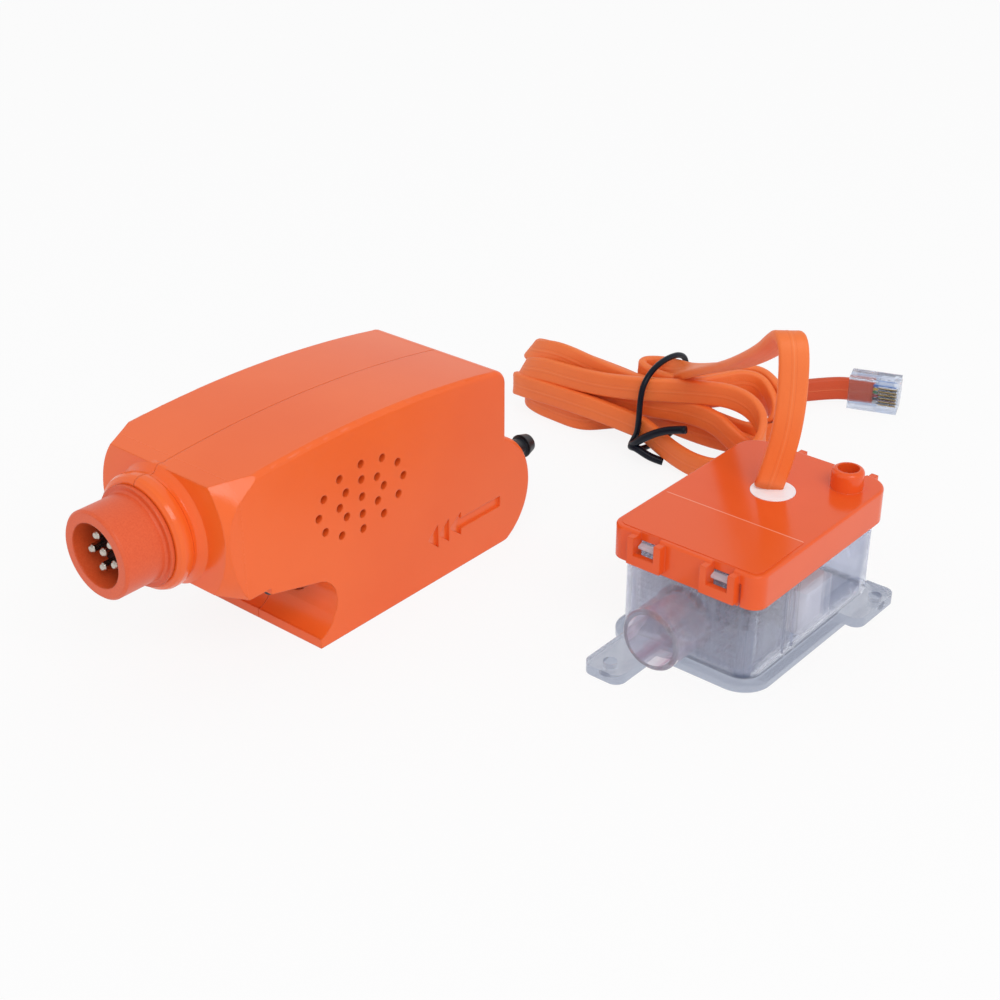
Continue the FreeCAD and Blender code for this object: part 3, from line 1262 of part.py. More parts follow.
def main():
    """Writes one file per piece; the origin is under the middle of the two standing units."""
    right_x = TANK_SHIFT_X + RIGHT_EAR_TIP_X
    rear_y = TANK_SHIFT_Y + TANK_REAR_Y + SPIGOT_LENGTH
    pump_at = V((HALF - right_x) / 2, -(CONN_END_Y + rear_y) / 2, 0)
    tank_at = pump_at + V(TANK_SHIFT_X, TANK_SHIFT_Y, 0)
    print("pump at", pump_at, "tank at", tank_at)
    print("latch pivot", plug_place(Part.Vertex(latch_pivot())).Point + tank_at)
    os.makedirs("parts", exist_ok=True)
    for pieces, place in ((pump_pieces(), pump_at), (reservoir_pieces(), tank_at)):
        for name, shape in pieces.items():
            shape = shape.copy()
            shape.translate(place)
            valid = all(s.isValid() for s in shape.Solids)
            print(name, len(shape.Solids), round(shape.Volume, 1), "" if valid and shape.Solids else "BAD")
            shape.exportStep(f"parts/{name}.step")


main()
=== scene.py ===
import math

import bmesh
import bpy
from mathutils import Matrix, Vector


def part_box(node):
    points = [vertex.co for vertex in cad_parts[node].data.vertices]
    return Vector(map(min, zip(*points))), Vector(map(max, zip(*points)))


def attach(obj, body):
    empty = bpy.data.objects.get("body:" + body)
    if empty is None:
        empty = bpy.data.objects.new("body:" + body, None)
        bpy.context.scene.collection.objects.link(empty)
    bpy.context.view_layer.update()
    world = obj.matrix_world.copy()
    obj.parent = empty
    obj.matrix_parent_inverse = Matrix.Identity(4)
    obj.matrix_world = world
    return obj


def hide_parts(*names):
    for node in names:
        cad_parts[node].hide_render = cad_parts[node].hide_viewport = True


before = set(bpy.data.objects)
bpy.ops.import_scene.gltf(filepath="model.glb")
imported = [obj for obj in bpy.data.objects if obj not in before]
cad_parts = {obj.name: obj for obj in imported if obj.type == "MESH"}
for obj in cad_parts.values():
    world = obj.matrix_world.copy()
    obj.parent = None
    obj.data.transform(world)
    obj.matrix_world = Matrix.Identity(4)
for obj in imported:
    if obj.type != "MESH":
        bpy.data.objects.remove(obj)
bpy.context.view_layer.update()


# Camera
# The photograph's view: a short telephoto above the front right corner, looking down on both units.
# Its place, angles and lens were fitted to the corners of the pump and of the reservoir.
CAMERA_AT = (0.215125, -0.2572, 0.2140)
CAMERA_PITCH = 28.54
CAMERA_YAW = 40.03
FOCAL_LENGTH = 62.37
FILM_WIDTH = 36.0
NEAREST_SEEN = 0.01

camera = bpy.data.objects.new("camera", bpy.data.cameras.new("camera"))
camera.data.lens = FOCAL_LENGTH
camera.data.sensor_width = FILM_WIDTH
camera.data.clip_start = NEAREST_SEEN
camera.location = CAMERA_AT
camera.rotation_euler = (math.radians(90 - CAMERA_PITCH), 0.0, math.radians(CAMERA_YAW))
bpy.context.scene.collection.objects.link(camera)
bpy.context.scene.camera = camera
bpy.context.scene.view_settings.view_transform = "Standard"


# Pump housing
# Two smooth mouldings in orange ABS, closed along the middle and drawn together by four screws.
# The collar behind the connector is polished brighter than the rest.
COLLAR_LENGTH = 0.009
COLLAR_FADE = 0.002


class Socket:
    """An output of a node; arithmetic on it adds Math nodes."""

    def __init__(self, finish, link):
        self.finish = finish
        self.link = link

    def maths(self, operation, *others):
        terms = dict(enumerate((self, *others)))
        return self.finish.node("ShaderNodeMath", {"operation": operation}, terms)

    def __add__(self, other):
        return self.maths("ADD", other)

    def __sub__(self, other):
        return self.maths("SUBTRACT", other)

    def __rsub__(self, other):
        return self.finish.node("ShaderNodeMath", {"operation": "SUBTRACT"}, {0: other, 1: self})

    def __mul__(self, other):
        return self.maths("MULTIPLY", other)

    __radd__ = __add__
    __rmul__ = __mul__

    def between(self, low, high):
        """0 at low, 1 at high, with a straight ramp between them."""
        return self.finish.node("ShaderNodeMapRange", {"clamp": True}, {0: self, 1: low, 2: high})


class Finish:
    """A material, or the world, whose nodes are all made by one method."""

    def __init__(self, name, kind="materials"):
        self.block = getattr(bpy.data, kind).new(name)
        self.block.use_nodes = True
        self.tree = self.block.node_tree
        self.tree.nodes.clear()

    def node(self, kind, settings, inputs, output=0):
        made = self.tree.nodes.new(kind)
        for key, value in settings.items():
            if key == "bands":
                made.color_ramp.interpolation = "CONSTANT"
                while len(made.color_ramp.elements) < len(value):
                    made.color_ramp.elements.new(0.5)
                for number, element in enumerate(made.color_ramp.elements):
                    element.position = number / len(value)
                    element.color = (*value[number], 1.0)
            else:
                setattr(made, key, value)
        for key, value in inputs.items():
            if isinstance(value, Socket):
                self.tree.links.new(value.link, made.inputs[key])
            elif isinstance(value, tuple) and made.inputs[key].type == "RGBA":
                made.inputs[key].default_value = (*value, 1.0)
            else:
                made.inputs[key].default_value = value
        return Socket(self, made.outputs[output]) if made.outputs else None

    def place(self):
        return self.node("ShaderNodeTexCoord", {}, {}, "Object")

    def axis(self, vector, name):
        return self.node("ShaderNodeSeparateXYZ", {}, {0: vector}, name)

    def scaled(self, vector, factors):
        return self.node("ShaderNodeVectorMath", {"operation": "MULTIPLY"}, {0: vector, 1: factors})

    def noise(self, vector, scale, detail=3.0, roughness=0.5):
        inputs = {"Vector": vector, "Scale": scale, "Detail": detail, "Roughness": roughness}
        return self.node("ShaderNodeTexNoise", {}, inputs)

    def tint(self, mask, colour_a, colour_b):
        inputs = {0: mask, 6: colour_a, 7: colour_b}
        return self.node("ShaderNodeMix", {"data_type": "RGBA"}, inputs, 2)

    def rounded(self, radius):
        """The normal of an edge rounded off to this radius."""
        return self.node("ShaderNodeBevel", {"samples": 6}, {"Radius": radius})

    def bump(self, height, distance, strength, edge=None):
        inputs = {"Height": height, "Distance": distance, "Strength": strength}
        if edge:
            inputs["Normal"] = self.rounded(edge)
        return self.node("ShaderNodeBump", {}, inputs)

    def ray(self, kind):
        return self.node("ShaderNodeLightPath", {}, {}, kind)

    def surface(self, **values):
        inputs = {key.replace("_", " "): value for key, value in values.items()}
        return self.node("ShaderNodeBsdfPrincipled", {}, inputs)

    def ended(self, shader):
        self.node("ShaderNodeOutputMaterial", {}, {"Surface": shader})
        return self.block

    def solid(self, **values):
        return self.ended(self.surface(**values))

    def see_through(self, tint, straight, haze, **values):
        """Clear plastic: refraction, a share that passes straight on, and a little milky haze.

        Shadow rays and bounced light pass, so what is inside stays lit.
        """
        plastic = self.surface(**values)
        clear = self.node("ShaderNodeBsdfTransparent", {}, {"Color": tint})
        milk = self.surface(Base_Color=linear(226, 228, 238), Roughness=0.2, Normal=values["Normal"])
        body = self.node("ShaderNodeMixShader", {}, {0: straight, 1: plastic, 2: clear})
        body = self.node("ShaderNodeMixShader", {}, {0: haze, 1: body, 2: milk})
        open_way = self.node("ShaderNodeBsdfTransparent", {}, {"Color": (0.96, 0.96, 0.97)})
        lighting = self.ray("Is Shadow Ray").maths("MAXIMUM", self.ray("Is Diffuse Ray"))
        return self.ended(self.node("ShaderNodeMixShader", {}, {0: lighting, 1: body, 2: open_way}))


def linear(red, green, blue):
    """A colour as seen, 0 to 255, as the linear values that shaders take."""
    parts = []
    for value in (red / 255, green / 255, blue / 255):
        parts.append(value / 12.92 if value <= 0.04045 else ((value + 0.055) / 1.055) ** 2.4)
    return tuple(parts)


def dress(material, *nodes):
    """Gives CAD pieces their material; their shape and place stay as they are."""
    for node in nodes:
        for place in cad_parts[node].material_slots:
            place.material = material


housing_finish = Finish("satin_orange_housing")
housing_place = housing_finish.place()
housing_grain = housing_finish.noise(housing_place, scale=1600.0, detail=2.0)
housing_flow = housing_finish.noise(housing_place, scale=28.0).between(0.3, 0.7)
collar_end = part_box("housing_right")[0].y + COLLAR_LENGTH
past_collar = housing_finish.axis(housing_place, "Y").between(collar_end, collar_end + COLLAR_FADE)
housing_orange = housing_finish.solid(
    Base_Color=housing_finish.tint(housing_flow, linear(241, 100, 36), linear(246, 108, 44)),
    Roughness=0.27 + housing_grain * 0.06 - (1.0 - past_collar) * 0.13,
    Specular_IOR_Level=0.4,
    Normal=housing_finish.bump(housing_grain, distance=0.000005, strength=0.4, edge=0.0004),
)
dress(housing_orange, "housing_left", "housing_right")


# Round connector
# The sleeve that the supply lead screws onto is moulded in orange, with a duller skin than the housing.
# Six nickel-plated pins stand in its black carrier, one in the middle and five round it.
sleeve_finish = Finish("matte_orange_sleeve")
sleeve_grain = sleeve_finish.noise(sleeve_finish.place(), scale=2600.0, detail=4.0)
sleeve_orange = sleeve_finish.solid(
    Base_Color=sleeve_finish.tint(sleeve_grain.between(0.3, 0.7), linear(222, 84, 38), linear(230, 97, 49)),
    Roughness=0.36 + sleeve_grain * 0.1,
    Normal=sleeve_finish.bump(sleeve_grain, distance=0.00003, strength=0.6, edge=0.0005),
)
dress(sleeve_orange, "connector_shell")

pin_finish = Finish("nickel_pins")
pin_scratch = pin_finish.noise(pin_finish.place(), scale=2500.0, detail=4.0)
pin_metal = pin_finish.solid(
    Base_Color=pin_finish.tint(pin_scratch, linear(168, 160, 150), linear(212, 206, 196)),
    Metallic=1.0,
    Roughness=0.16 + pin_scratch * 0.14,
    Normal=pin_finish.rounded(0.0003),
)
dress(pin_metal, "connector_pins")


# Hose fittings and rubber mounts
# The barbed hose fittings, the pin carrier and the small electrical parts are black glass-filled mouldings.
# Two soft rings hold the pump off its housing, and the check balls are of the same rubber.
black_finish = Finish("black_moulding")
black_grain = black_finish.noise(black_finish.place(), scale=1400.0, detail=4.0)
black_plastic = black_finish.solid(
    Base_Color=black_finish.tint(black_grain, linear(12, 15, 22), linear(34, 38, 46)),
    Roughness=0.3 + black_grain * 0.2,
    Normal=black_finish.bump(black_grain, distance=0.00003, strength=0.5, edge=0.0002),
)
dress(black_plastic, "outlet_fitting", "inlet_fitting", "pin_carrier")
dress(black_plastic, "sensor_jack", "thermal_cutout", "board_parts")

rubber_finish = Finish("soft_black_rubber")
rubber_grain = rubber_finish.noise(rubber_finish.place(), scale=700.0, detail=5.0)
soft_rubber = rubber_finish.solid(
    Base_Color=rubber_finish.tint(rubber_grain, linear(16, 16, 17), linear(40, 39, 38)),
    Roughness=0.7 + rubber_grain * 0.2,
    Normal=rubber_finish.bump(rubber_grain, distance=0.00006, strength=0.6),
)
dress(soft_rubber, "rubber_mount_front", "rubber_mount_rear", "outlet_ball", "inlet_ball")


# Pump mechanism
# A steel piston slides between two springs in a thin steel tube, with a sprung check valve at each end.
# The varnished copper coil is wound on a nylon bobbin inside a steel yoke, its wires 0.35 mm apart.
WIRE_WAVE = 18000.0

steel_finish = Finish("ground_steel")
steel_place = steel_finish.scaled(steel_finish.place(), (1.0, 0.08, 1.0))
steel_lines = steel_finish.noise(steel_place, scale=2200.0, detail=4.0)
ground_steel = steel_finish.solid(
    Base_Color=steel_finish.tint(steel_lines, linear(150, 151, 154), linear(196, 197, 200)),
    Metallic=1.0,
    Roughness=0.22 + steel_lines * 0.2,
    Normal=steel_finish.bump(steel_lines, distance=0.00001, strength=0.5),
)
dress(ground_steel, "pump_cylinder", "piston", "piston_spring_front", "piston_spring_rear")
dress(ground_steel, "outlet_spring", "inlet_spring", "yoke", "housing_screws")

copper_finish = Finish("varnished_copper")
turns = copper_finish.axis(copper_finish.place(), "Y") * WIRE_WAVE
turn_wave = turns.maths("SINE")
# The darker half of each wave is painted shade in the grooves between the turns.
varnished_copper = copper_finish.solid(
    Base_Color=copper_finish.tint(turn_wave.between(-1.0, 1.0), linear(120, 52, 24), linear(206, 118, 66)),
    Metallic=0.9,
    Roughness=0.32,
    Normal=copper_finish.bump(turn_wave, distance=0.00008, strength=0.8),
)
dress(varnished_copper, "coil_winding")

nylon_finish = Finish("natural_nylon")
nylon_grain = nylon_finish.noise(nylon_finish.place(), scale=500.0)
natural_nylon = nylon_finish.solid(
    Base_Color=nylon_finish.tint(nylon_grain, linear(214, 210, 196), linear(232, 229, 216)),
    Roughness=0.45 + nylon_grain * 0.1,
    Normal=nylon_finish.bump(nylon_grain, distance=0.00002, strength=0.5, edge=0.0002),
)
dress(natural_nylon, "coil_bobbin")


# Circuit boards
# Green glass-epoxy boards: the driver in the pump, and the sensor strip in the lid's stem.
# The contacts of the sensor's jack are thin blades with a flash of gold.
board_finish = Finish("green_circuit_board")
board_place = board_finish.place()
weave = board_finish.noise(board_finish.scaled(board_place, (1.0, 6.0, 1.0)), scale=1500.0)
tracks = board_finish.node("ShaderNodeTexBrick", {}, {
    "Vector": board_place, "Scale": 160.0, "Mortar Size": 0.12,
    "Color1": linear(16, 92, 50), "Color2": linear(20, 104, 56), "Mortar": linear(34, 132, 74),
})
board_green = board_finish.solid(
    Base_Color=board_finish.tint(weave * 0.4, tracks, linear(8, 66, 34)),
    Roughness=0.3 + weave * 0.2,
    Normal=board_finish.bump(weave, distance=0.00001, strength=0.5),
)
dress(board_green, "circuit_board", "sensor_board")

gold_finish = Finish("gold_flash")
gold_wear = gold_finish.noise(gold_finish.place(), scale=3000.0)
gold_flash = gold_finish.solid(
    Base_Color=gold_finish.tint(gold_wear, linear(150, 120, 72), linear(206, 178, 120)),
    Metallic=1.0,
    Roughness=0.2 + gold_wear * 0.15,
    Normal=gold_finish.rounded(0.0001),
)
dress(gold_flash, "jack_contacts")


# Tank
# Clear polycarbonate: thin walls, a thick foot with two screw ears, the inlet tube and the suction spigot.
# The foot is thick, and its grey is partly its own tint and partly painted shade. The tube and the snap
# lugs have the haze of a slow-cooled moulding; the tube's pink streaks are a painted reflection of the lid.
TANK_FRONT = 0.0121
FRONT_FADE = (TANK_FRONT - 0.0008, TANK_FRONT - 0.0002)
FOOT_FADE = (0.0024, 0.0032)
LUG_FADE = (0.0200, 0.0207)

clear_finish = Finish("clear_polycarbonate")
clear_place = clear_finish.place()
swirl = clear_finish.noise(clear_place, scale=120.0)
fine_swirl = clear_finish.noise(clear_place, scale=700.0)
reflection_streak_place = clear_finish.scaled(clear_place, (1.0, 0.12, 1.0))
painted_lid_reflection = clear_finish.noise(reflection_streak_place, scale=330.0, detail=2.0).between(0.46, 0.66)
up_tank = clear_finish.axis(clear_place, "Z")
in_foot = 1.0 - up_tank.between(*FOOT_FADE)
ahead_of_wall = 1.0 - clear_finish.axis(clear_place, "Y").between(*FRONT_FADE)
in_tube = ahead_of_wall * (1.0 - in_foot)
in_lug = in_tube * up_tank.between(*LUG_FADE)
# The walls' blue-grey and the tint of the share that passes straight on are partly the plastic's own tint
# and partly painted shade: they darken the white table seen through the tank, as the lid's shadow would.
wall_tint_and_shade = clear_finish.tint(swirl, linear(211, 217, 230), linear(223, 227, 237))
# Painted reflection: the tube's pink streaks stand for the orange lid mirrored in it.
tube_colour = clear_finish.tint(painted_lid_reflection, linear(244, 238, 246), linear(206, 162, 184))
tank_colour = clear_finish.tint(in_tube, wall_tint_and_shade, tube_colour)
clear_plastic = clear_finish.see_through(
    tint=linear(238, 240, 247),
    straight=0.5 - in_foot * 0.38 - in_tube * 0.25,
    haze=in_tube * 0.05 + in_lug * 0.5 + 0.02,
    # The foot's dark grey is partly the thick plastic's own tint and partly painted shade.
    Base_Color=clear_finish.tint(in_foot, tank_colour, linear(98, 108, 132)),
    Roughness=0.03 + fine_swirl * 0.05,
    IOR=1.4,
    Transmission_Weight=1.0,
    Normal=clear_finish.bump(swirl, distance=0.0002, strength=0.25, edge=0.0003),
)
dress(clear_plastic, "tank")


# Strainer and float
# A translucent moulded basket with a fine mesh keeps dirt from the float.
# The float is a pale foam block on the sensor's stem, with a ring magnet of sintered ferrite.
MESH_PITCH = 0.0014
THREAD_FADE = (0.06, 0.12)

basket_finish = Finish("translucent_strainer")
basket_place = basket_finish.place()
basket_grain = basket_finish.noise(basket_place, scale=500.0)
threads = []
for way in ("X", "Z"):
    across_mesh = basket_finish.axis(basket_place, way) * (1 / MESH_PITCH)
    off_thread = (across_mesh.maths("FRACT") - 0.5).maths("ABSOLUTE")
    threads.append(1.0 - off_thread.between(*THREAD_FADE))
mesh_lines = (threads[0] + threads[1]).maths("MINIMUM", 1.0)
basket_colour = basket_finish.tint(basket_grain, linear(226, 228, 238), linear(244, 245, 250))
basket_plastic = basket_finish.solid(
    Base_Color=basket_finish.tint(mesh_lines * 0.6, basket_colour, linear(84, 88, 106)),
    Roughness=0.35 + basket_grain * 0.15,
    Alpha=basket_grain * 0.08 + mesh_lines * 0.36 + 0.14,
    Normal=basket_finish.bump(basket_grain, distance=0.00002, strength=0.5, edge=0.0002),
)
dress(basket_plastic, "strainer")

foam_finish = Finish("pale_float_foam")
cells = foam_finish.noise(foam_finish.place(), scale=1800.0, detail=4.0, roughness=0.7)
float_foam = foam_finish.solid(
    Base_Color=foam_finish.tint(cells, linear(236, 234, 240), linear(252, 250, 252)),
    Roughness=0.8,
    Normal=foam_finish.bump(cells, distance=0.00012, strength=0.7, edge=0.0005),
)
dress(float_foam, "float")

ferrite_finish = Finish("sintered_ferrite")
ferrite_grain = ferrite_finish.noise(ferrite_finish.place(), scale=1500.0, detail=5.0)
ferrite = ferrite_finish.solid(
    Base_Color=ferrite_finish.tint(ferrite_grain, linear(36, 36, 38), linear(64, 63, 64)),
    Metallic=0.3,
    Roughness=0.5 + ferrite_grain * 0.2,
    Normal=ferrite_finish.bump(ferrite_grain, distance=0.00005, strength=0.6),
)
dress(ferrite, "float_magnet")


# Reservoir lid
# Glossy orange moulding with four snap loops, a vent tube, and the hollow stem that the float slides on.
# A bare clear film is stuck to its front part, and white resin seals the cable into the top.
FILM_END_FADE = (0.00045, 0.00025)

lid_finish = Finish("glossy_orange_lid")
lid_place = lid_finish.place()
lid_grain = lid_finish.noise(lid_place, scale=700.0)
lid_flow = lid_finish.noise(lid_place, scale=45.0).between(0.3, 0.7)
glossy_orange = lid_finish.solid(
    Base_Color=lid_finish.tint(lid_flow, linear(233, 88, 32), linear(239, 96, 40)),
    Roughness=0.14 + lid_grain * 0.08,
    Specular_IOR_Level=0.38,
    Normal=lid_finish.bump(lid_grain, distance=0.000006, strength=0.4, edge=0.00035),
)
dress(glossy_orange, "lid")

film_finish = Finish("bare_label_film")
film_place = film_finish.place()
film_grain = film_finish.noise(film_place, scale=300.0)
film_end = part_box("lid_label")[1].y
film_fade = [film_end - inset for inset in FILM_END_FADE]
at_film_end = film_finish.axis(film_place, "Y").between(*film_fade)
label_film = film_finish.solid(
    Base_Color=film_finish.tint(at_film_end, linear(235, 92, 36), linear(248, 146, 112)),
    Roughness=0.2 + film_grain * 0.1,
    Specular_IOR_Level=0.4,
    Normal=film_finish.bump(film_grain, distance=0.00001, strength=0.4, edge=0.0001),
)
dress(label_film, "lid_label")

resin_finish = Finish("white_potting_resin")
resin_swell = resin_finish.noise(resin_finish.place(), scale=260.0, detail=2.0)
white_resin = resin_finish.solid(
    Base_Color=resin_finish.tint(resin_swell, linear(250, 248, 254), linear(255, 255, 255)),
    Roughness=0.25 + resin_swell * 0.1,
    Normal=resin_finish.bump(resin_swell, distance=0.0003, strength=0.6, edge=0.0002),
)
dress(white_resin, "potting_disc")


# Sensor cable
# Flat telephone-type cable in a soft orange PVC jacket, from the white resin in the lid to the plug.
# It rises and folds over, is wound on edge into a bundle behind the reservoir, and ends in a loose tail.
CABLE_WIDTH = 0.0066
CABLE_THICKNESS = 0.0023
CABLE_CORNER = 0.0008
CABLE_RIDGE = ((0.0009, 0.0), (0.00025, 0.0), (0.0, 0.00006), (-0.00025, 0.0), (-0.0009, 0.0))
GROOVE_OFF_MIDDLE = 0.09
GROOVE_FADE = (0.004, 0.02)
MIDDLE_HIGHLIGHT_FADE = 0.03
# Where along the cable the painted shade of the hanging tail begins, and over what length it fades in.
TAIL_SHADE_START = 0.815
TAIL_SHADE_FADE = 0.02
POINTS_PER_SPAN = 8
DISC_FROM_LID = (0.0001, 0.0352)
FOOT_WIDTH_WAY = Vector((0.80, 0.60, 0.0))

# Each point is measured from the middle of the lid's front edge. A fourth number is the angle in degrees
# at which the cable's width stands there, from flat at 0 to upright at 90, which it is where none is given.
RISER_ROUTE = (
    (-0.0014, 0.0357, 0.02945, 0), (0.0008, 0.0367, 0.0390, 0), (0.0022, 0.0366, 0.0510, 0),
    (0.0020, 0.0362, 0.0643, 0), (-0.0012, 0.0385, 0.0662, 0), (-0.0052, 0.0418, 0.0626, 0),
    (-0.0102, 0.0460, 0.0573, 2), (-0.0230, 0.0565, 0.0470, 4), (-0.0368, 0.0685, 0.0375, 10),
    (-0.0485, 0.0790, 0.0300, 18), (-0.0572, 0.0868, 0.0242, 28),
)
HANK_ROUTE = (
    (-0.0640, 0.0915, 0.0204, 42), (-0.0705, 0.0924, 0.0195, 68), (-0.0750, 0.0900, 0.0192, 85),
    (-0.0735, 0.0868, 0.0190), (-0.0660, 0.0866, 0.0180), (-0.0595, 0.0895, 0.0176),
    (-0.0560, 0.0960, 0.0180), (-0.0530, 0.1035, 0.0184), (-0.0480, 0.1070, 0.0182),
    (-0.0415, 0.1050, 0.0165), (-0.0358, 0.1015, 0.0125), (-0.0350, 0.0970, 0.0085),
    (-0.0415, 0.0942, 0.0070), (-0.0540, 0.0925, 0.0085), (-0.0660, 0.0912, 0.0110),
    (-0.0800, 0.0912, 0.0130), (-0.0960, 0.0905, 0.0140), (-0.1060, 0.0895, 0.0150, 70),
    (-0.1112, 0.0868, 0.0158, 55), (-0.1085, 0.0835, 0.0168, 52), (-0.0990, 0.0825, 0.0194, 62),
    (-0.0850, 0.0825, 0.0178, 75), (-0.0740, 0.0832, 0.0168, 85), (-0.0655, 0.0842, 0.0170),
    (-0.0580, 0.0875, 0.0180), (-0.0535, 0.0940, 0.0186), (-0.0505, 0.1005, 0.0188),
    (-0.0460, 0.1035, 0.0178), (-0.0405, 0.1018, 0.0142), (-0.0385, 0.0995, 0.0090),
    (-0.0440, 0.0985, 0.0052), (-0.0540, 0.0955, 0.0042), (-0.0660, 0.0925, 0.0048),
    (-0.0800, 0.0905, 0.0070), (-0.0960, 0.0885, 0.0090), (-0.1050, 0.0868, 0.0105, 75),
    (-0.1108, 0.0834, 0.0115, 62), (-0.1080, 0.0795, 0.0127, 62), (-0.1010, 0.0785, 0.0152, 72),
    (-0.0910, 0.0782, 0.0157, 82), (-0.0800, 0.0783, 0.0166), (-0.0670, 0.0793, 0.0188),
    (-0.0590, 0.0828, 0.0195), (-0.0530, 0.0865, 0.0194), (-0.0465, 0.0895, 0.0194),
    (-0.0400, 0.0900, 0.0182), (-0.0350, 0.0880, 0.0155), (-0.0328, 0.0840, 0.0110),
    (-0.0345, 0.0795, 0.0066), (-0.0400, 0.0762, 0.0042), (-0.0465, 0.0755, 0.0038),
    (-0.0530, 0.0762, 0.0044), (-0.0596, 0.0772, 0.0060), (-0.0660, 0.0785, 0.0078),
    (-0.0730, 0.0780, 0.0085), (-0.0810, 0.0774, 0.0092), (-0.0900, 0.0770, 0.0094),
    (-0.0990, 0.0770, 0.0092), (-0.1065, 0.0774, 0.0086), (-0.1116, 0.0790, 0.0078),
    (-0.1108, 0.0834, 0.0056), (-0.1040, 0.0858, 0.0046), (-0.0960, 0.0864, 0.0052),
    (-0.0860, 0.0864, 0.0070), (-0.0740, 0.0864, 0.0078), (-0.0660, 0.0866, 0.0080),
    (-0.0570, 0.0872, 0.0072), (-0.0500, 0.0890, 0.0062), (-0.0440, 0.0915, 0.0056),
    (-0.0388, 0.0918, 0.0050), (-0.0360, 0.0893, 0.0052), (-0.0378, 0.0866, 0.0066),
    (-0.0425, 0.0860, 0.0092), (-0.0475, 0.0864, 0.0118), (-0.0530, 0.0858, 0.0130),
    (-0.0590, 0.0846, 0.0132), (-0.0660, 0.0828, 0.0128), (-0.0750, 0.0820, 0.0122),
    (-0.0880, 0.0812, 0.0115), (-0.0975, 0.0812, 0.0100), (-0.1045, 0.0824, 0.0082),
    (-0.1085, 0.0842, 0.0060), (-0.1088, 0.0812, 0.0042), (-0.1040, 0.0797, 0.0036),
    (-0.0960, 0.0793, 0.0035), (-0.0900, 0.0790, 0.0035), (-0.0860, 0.0805, 0.0035),
    (-0.0825, 0.0850, 0.0035), (-0.0790, 0.0890, 0.0035), (-0.0770, 0.0935, 0.0035),
)
TAIL_ROUTE = (
    (-0.0750, 0.0985, 0.0036), (-0.0715, 0.1085, 0.0036), (-0.0660, 0.1180, 0.0036),
    (-0.0590, 0.1250, 0.0036), (-0.0505, 0.1338, 0.0038), (-0.0445, 0.1396, 0.0044),
    (-0.0400, 0.1424, 0.0048), (-0.0328, 0.1450, 0.0049),
)


def nurbs_line(name, points):
    """Points along a smooth curve led by these control points."""
    curve = bpy.data.curves.new(name, "CURVE")
    curve.dimensions = "3D"
    spline = curve.splines.new("NURBS")
    spline.points.add(len(points) - 1)
    for control, point in zip(spline.points, points):
        control.co = (*point, 1.0)
    spline.order_u = 3
    spline.use_endpoint_u = True
    spline.resolution_u = POINTS_PER_SPAN
    holder = bpy.data.objects.new(name, curve)
    bpy.context.scene.collection.objects.link(holder)
    bpy.context.view_layer.update()
    line = bpy.data.meshes.new_from_object(holder)
    found = [v.co.copy() for v in line.vertices]
    bpy.data.objects.remove(holder)
    bpy.data.meshes.remove(line)
    return found


def heading_at(line, k):
    """The way that a line runs at its point k."""
    return (line[min(k + 1, len(line) - 1)] - line[max(k - 1, 0)]).normalized()


def cable_section():
    """Round-cornered flat section as (across, out) points, with a shallow line along each face's middle."""
    half_w, half_t, r = CABLE_WIDTH / 2, CABLE_THICKNESS / 2, CABLE_CORNER
    points = []
    for side, start in ((1, -90), (1, 0), (-1, 90), (-1, 180)):
        out = 1 if start in (0, 90) else -1
        for degrees in (0, 30, 60, 90):
            a = math.radians(start + degrees)
            points.append((side * (half_w - r) + r * math.cos(a), out * (half_t - r) + r * math.sin(a)))
        if start in (0, 180):
            for across, rise in CABLE_RIDGE:
                points.append((side * across, out * (half_t + rise)))
    return points


def placed(mesh, name, body):
    """A finished mesh as a piece of the object."""
    piece = bpy.data.objects.new(name, mesh)
    bpy.context.scene.collection.objects.link(piece)
    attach(piece, body)
    return piece


def skinned(rings, name, material, body):
    """A piece with a closed smooth skin over rings of points, flat at both ends."""
    count = len(rings[0])
    faces = []
    for k in range(len(rings) - 1):
        for j in range(count):
            nxt = (j + 1) % count
            faces.append((k * count + j, k * count + nxt, (k + 1) * count + nxt, (k + 1) * count + j))
    faces.append(tuple(reversed(range(count))))
    faces.append(tuple((len(rings) - 1) * count + j for j in range(count)))
    mesh = bpy.data.meshes.new(name)
    mesh.from_pydata([point for ring in rings for point in ring], [], faces)
    mesh.validate()
    mesh.polygons.foreach_set("use_smooth", [True] * len(mesh.polygons))
    mesh.materials.append(material)
    return placed(mesh, name, body)


cable_finish = Finish("orange_cable_jacket")
jacket_uv = cable_finish.node("ShaderNodeTexCoord", {}, {}, "UV")
along_streaks = cable_finish.scaled(jacket_uv, (6.0, 1.0, 1.0))
streaks = cable_finish.noise(along_streaks, scale=260.0, detail=4.0, roughness=0.6)
mottle = cable_finish.noise(cable_finish.place(), scale=90.0).between(0.3, 0.75)
off_middle = (cable_finish.axis(jacket_uv, "Y") - 0.5).maths("ABSOLUTE")
grooves = 1.0 - (off_middle - GROOVE_OFF_MIDDLE).maths("ABSOLUTE").between(*GROOVE_FADE)
middle = 1.0 - off_middle.between(0.0, MIDDLE_HIGHLIGHT_FADE)
tail_in_painted_shade = cable_finish.axis(jacket_uv, "X").between(TAIL_SHADE_START, TAIL_SHADE_START + TAIL_SHADE_FADE)
jacket = cable_finish.tint(streaks.between(0.35, 0.7), linear(244, 118, 48), linear(250, 131, 62))
jacket = cable_finish.tint(mottle * 0.3, jacket, linear(230, 98, 38))
# Painted shade: the tail that hangs down to the plug is darker and redder.
jacket = cable_finish.tint(tail_in_painted_shade * 0.85, jacket, linear(200, 64, 22))
# Painted shade in the two grooves beside the middle of each face.
jacket = cable_finish.tint(grooves * 0.22, jacket, linear(218, 92, 40))
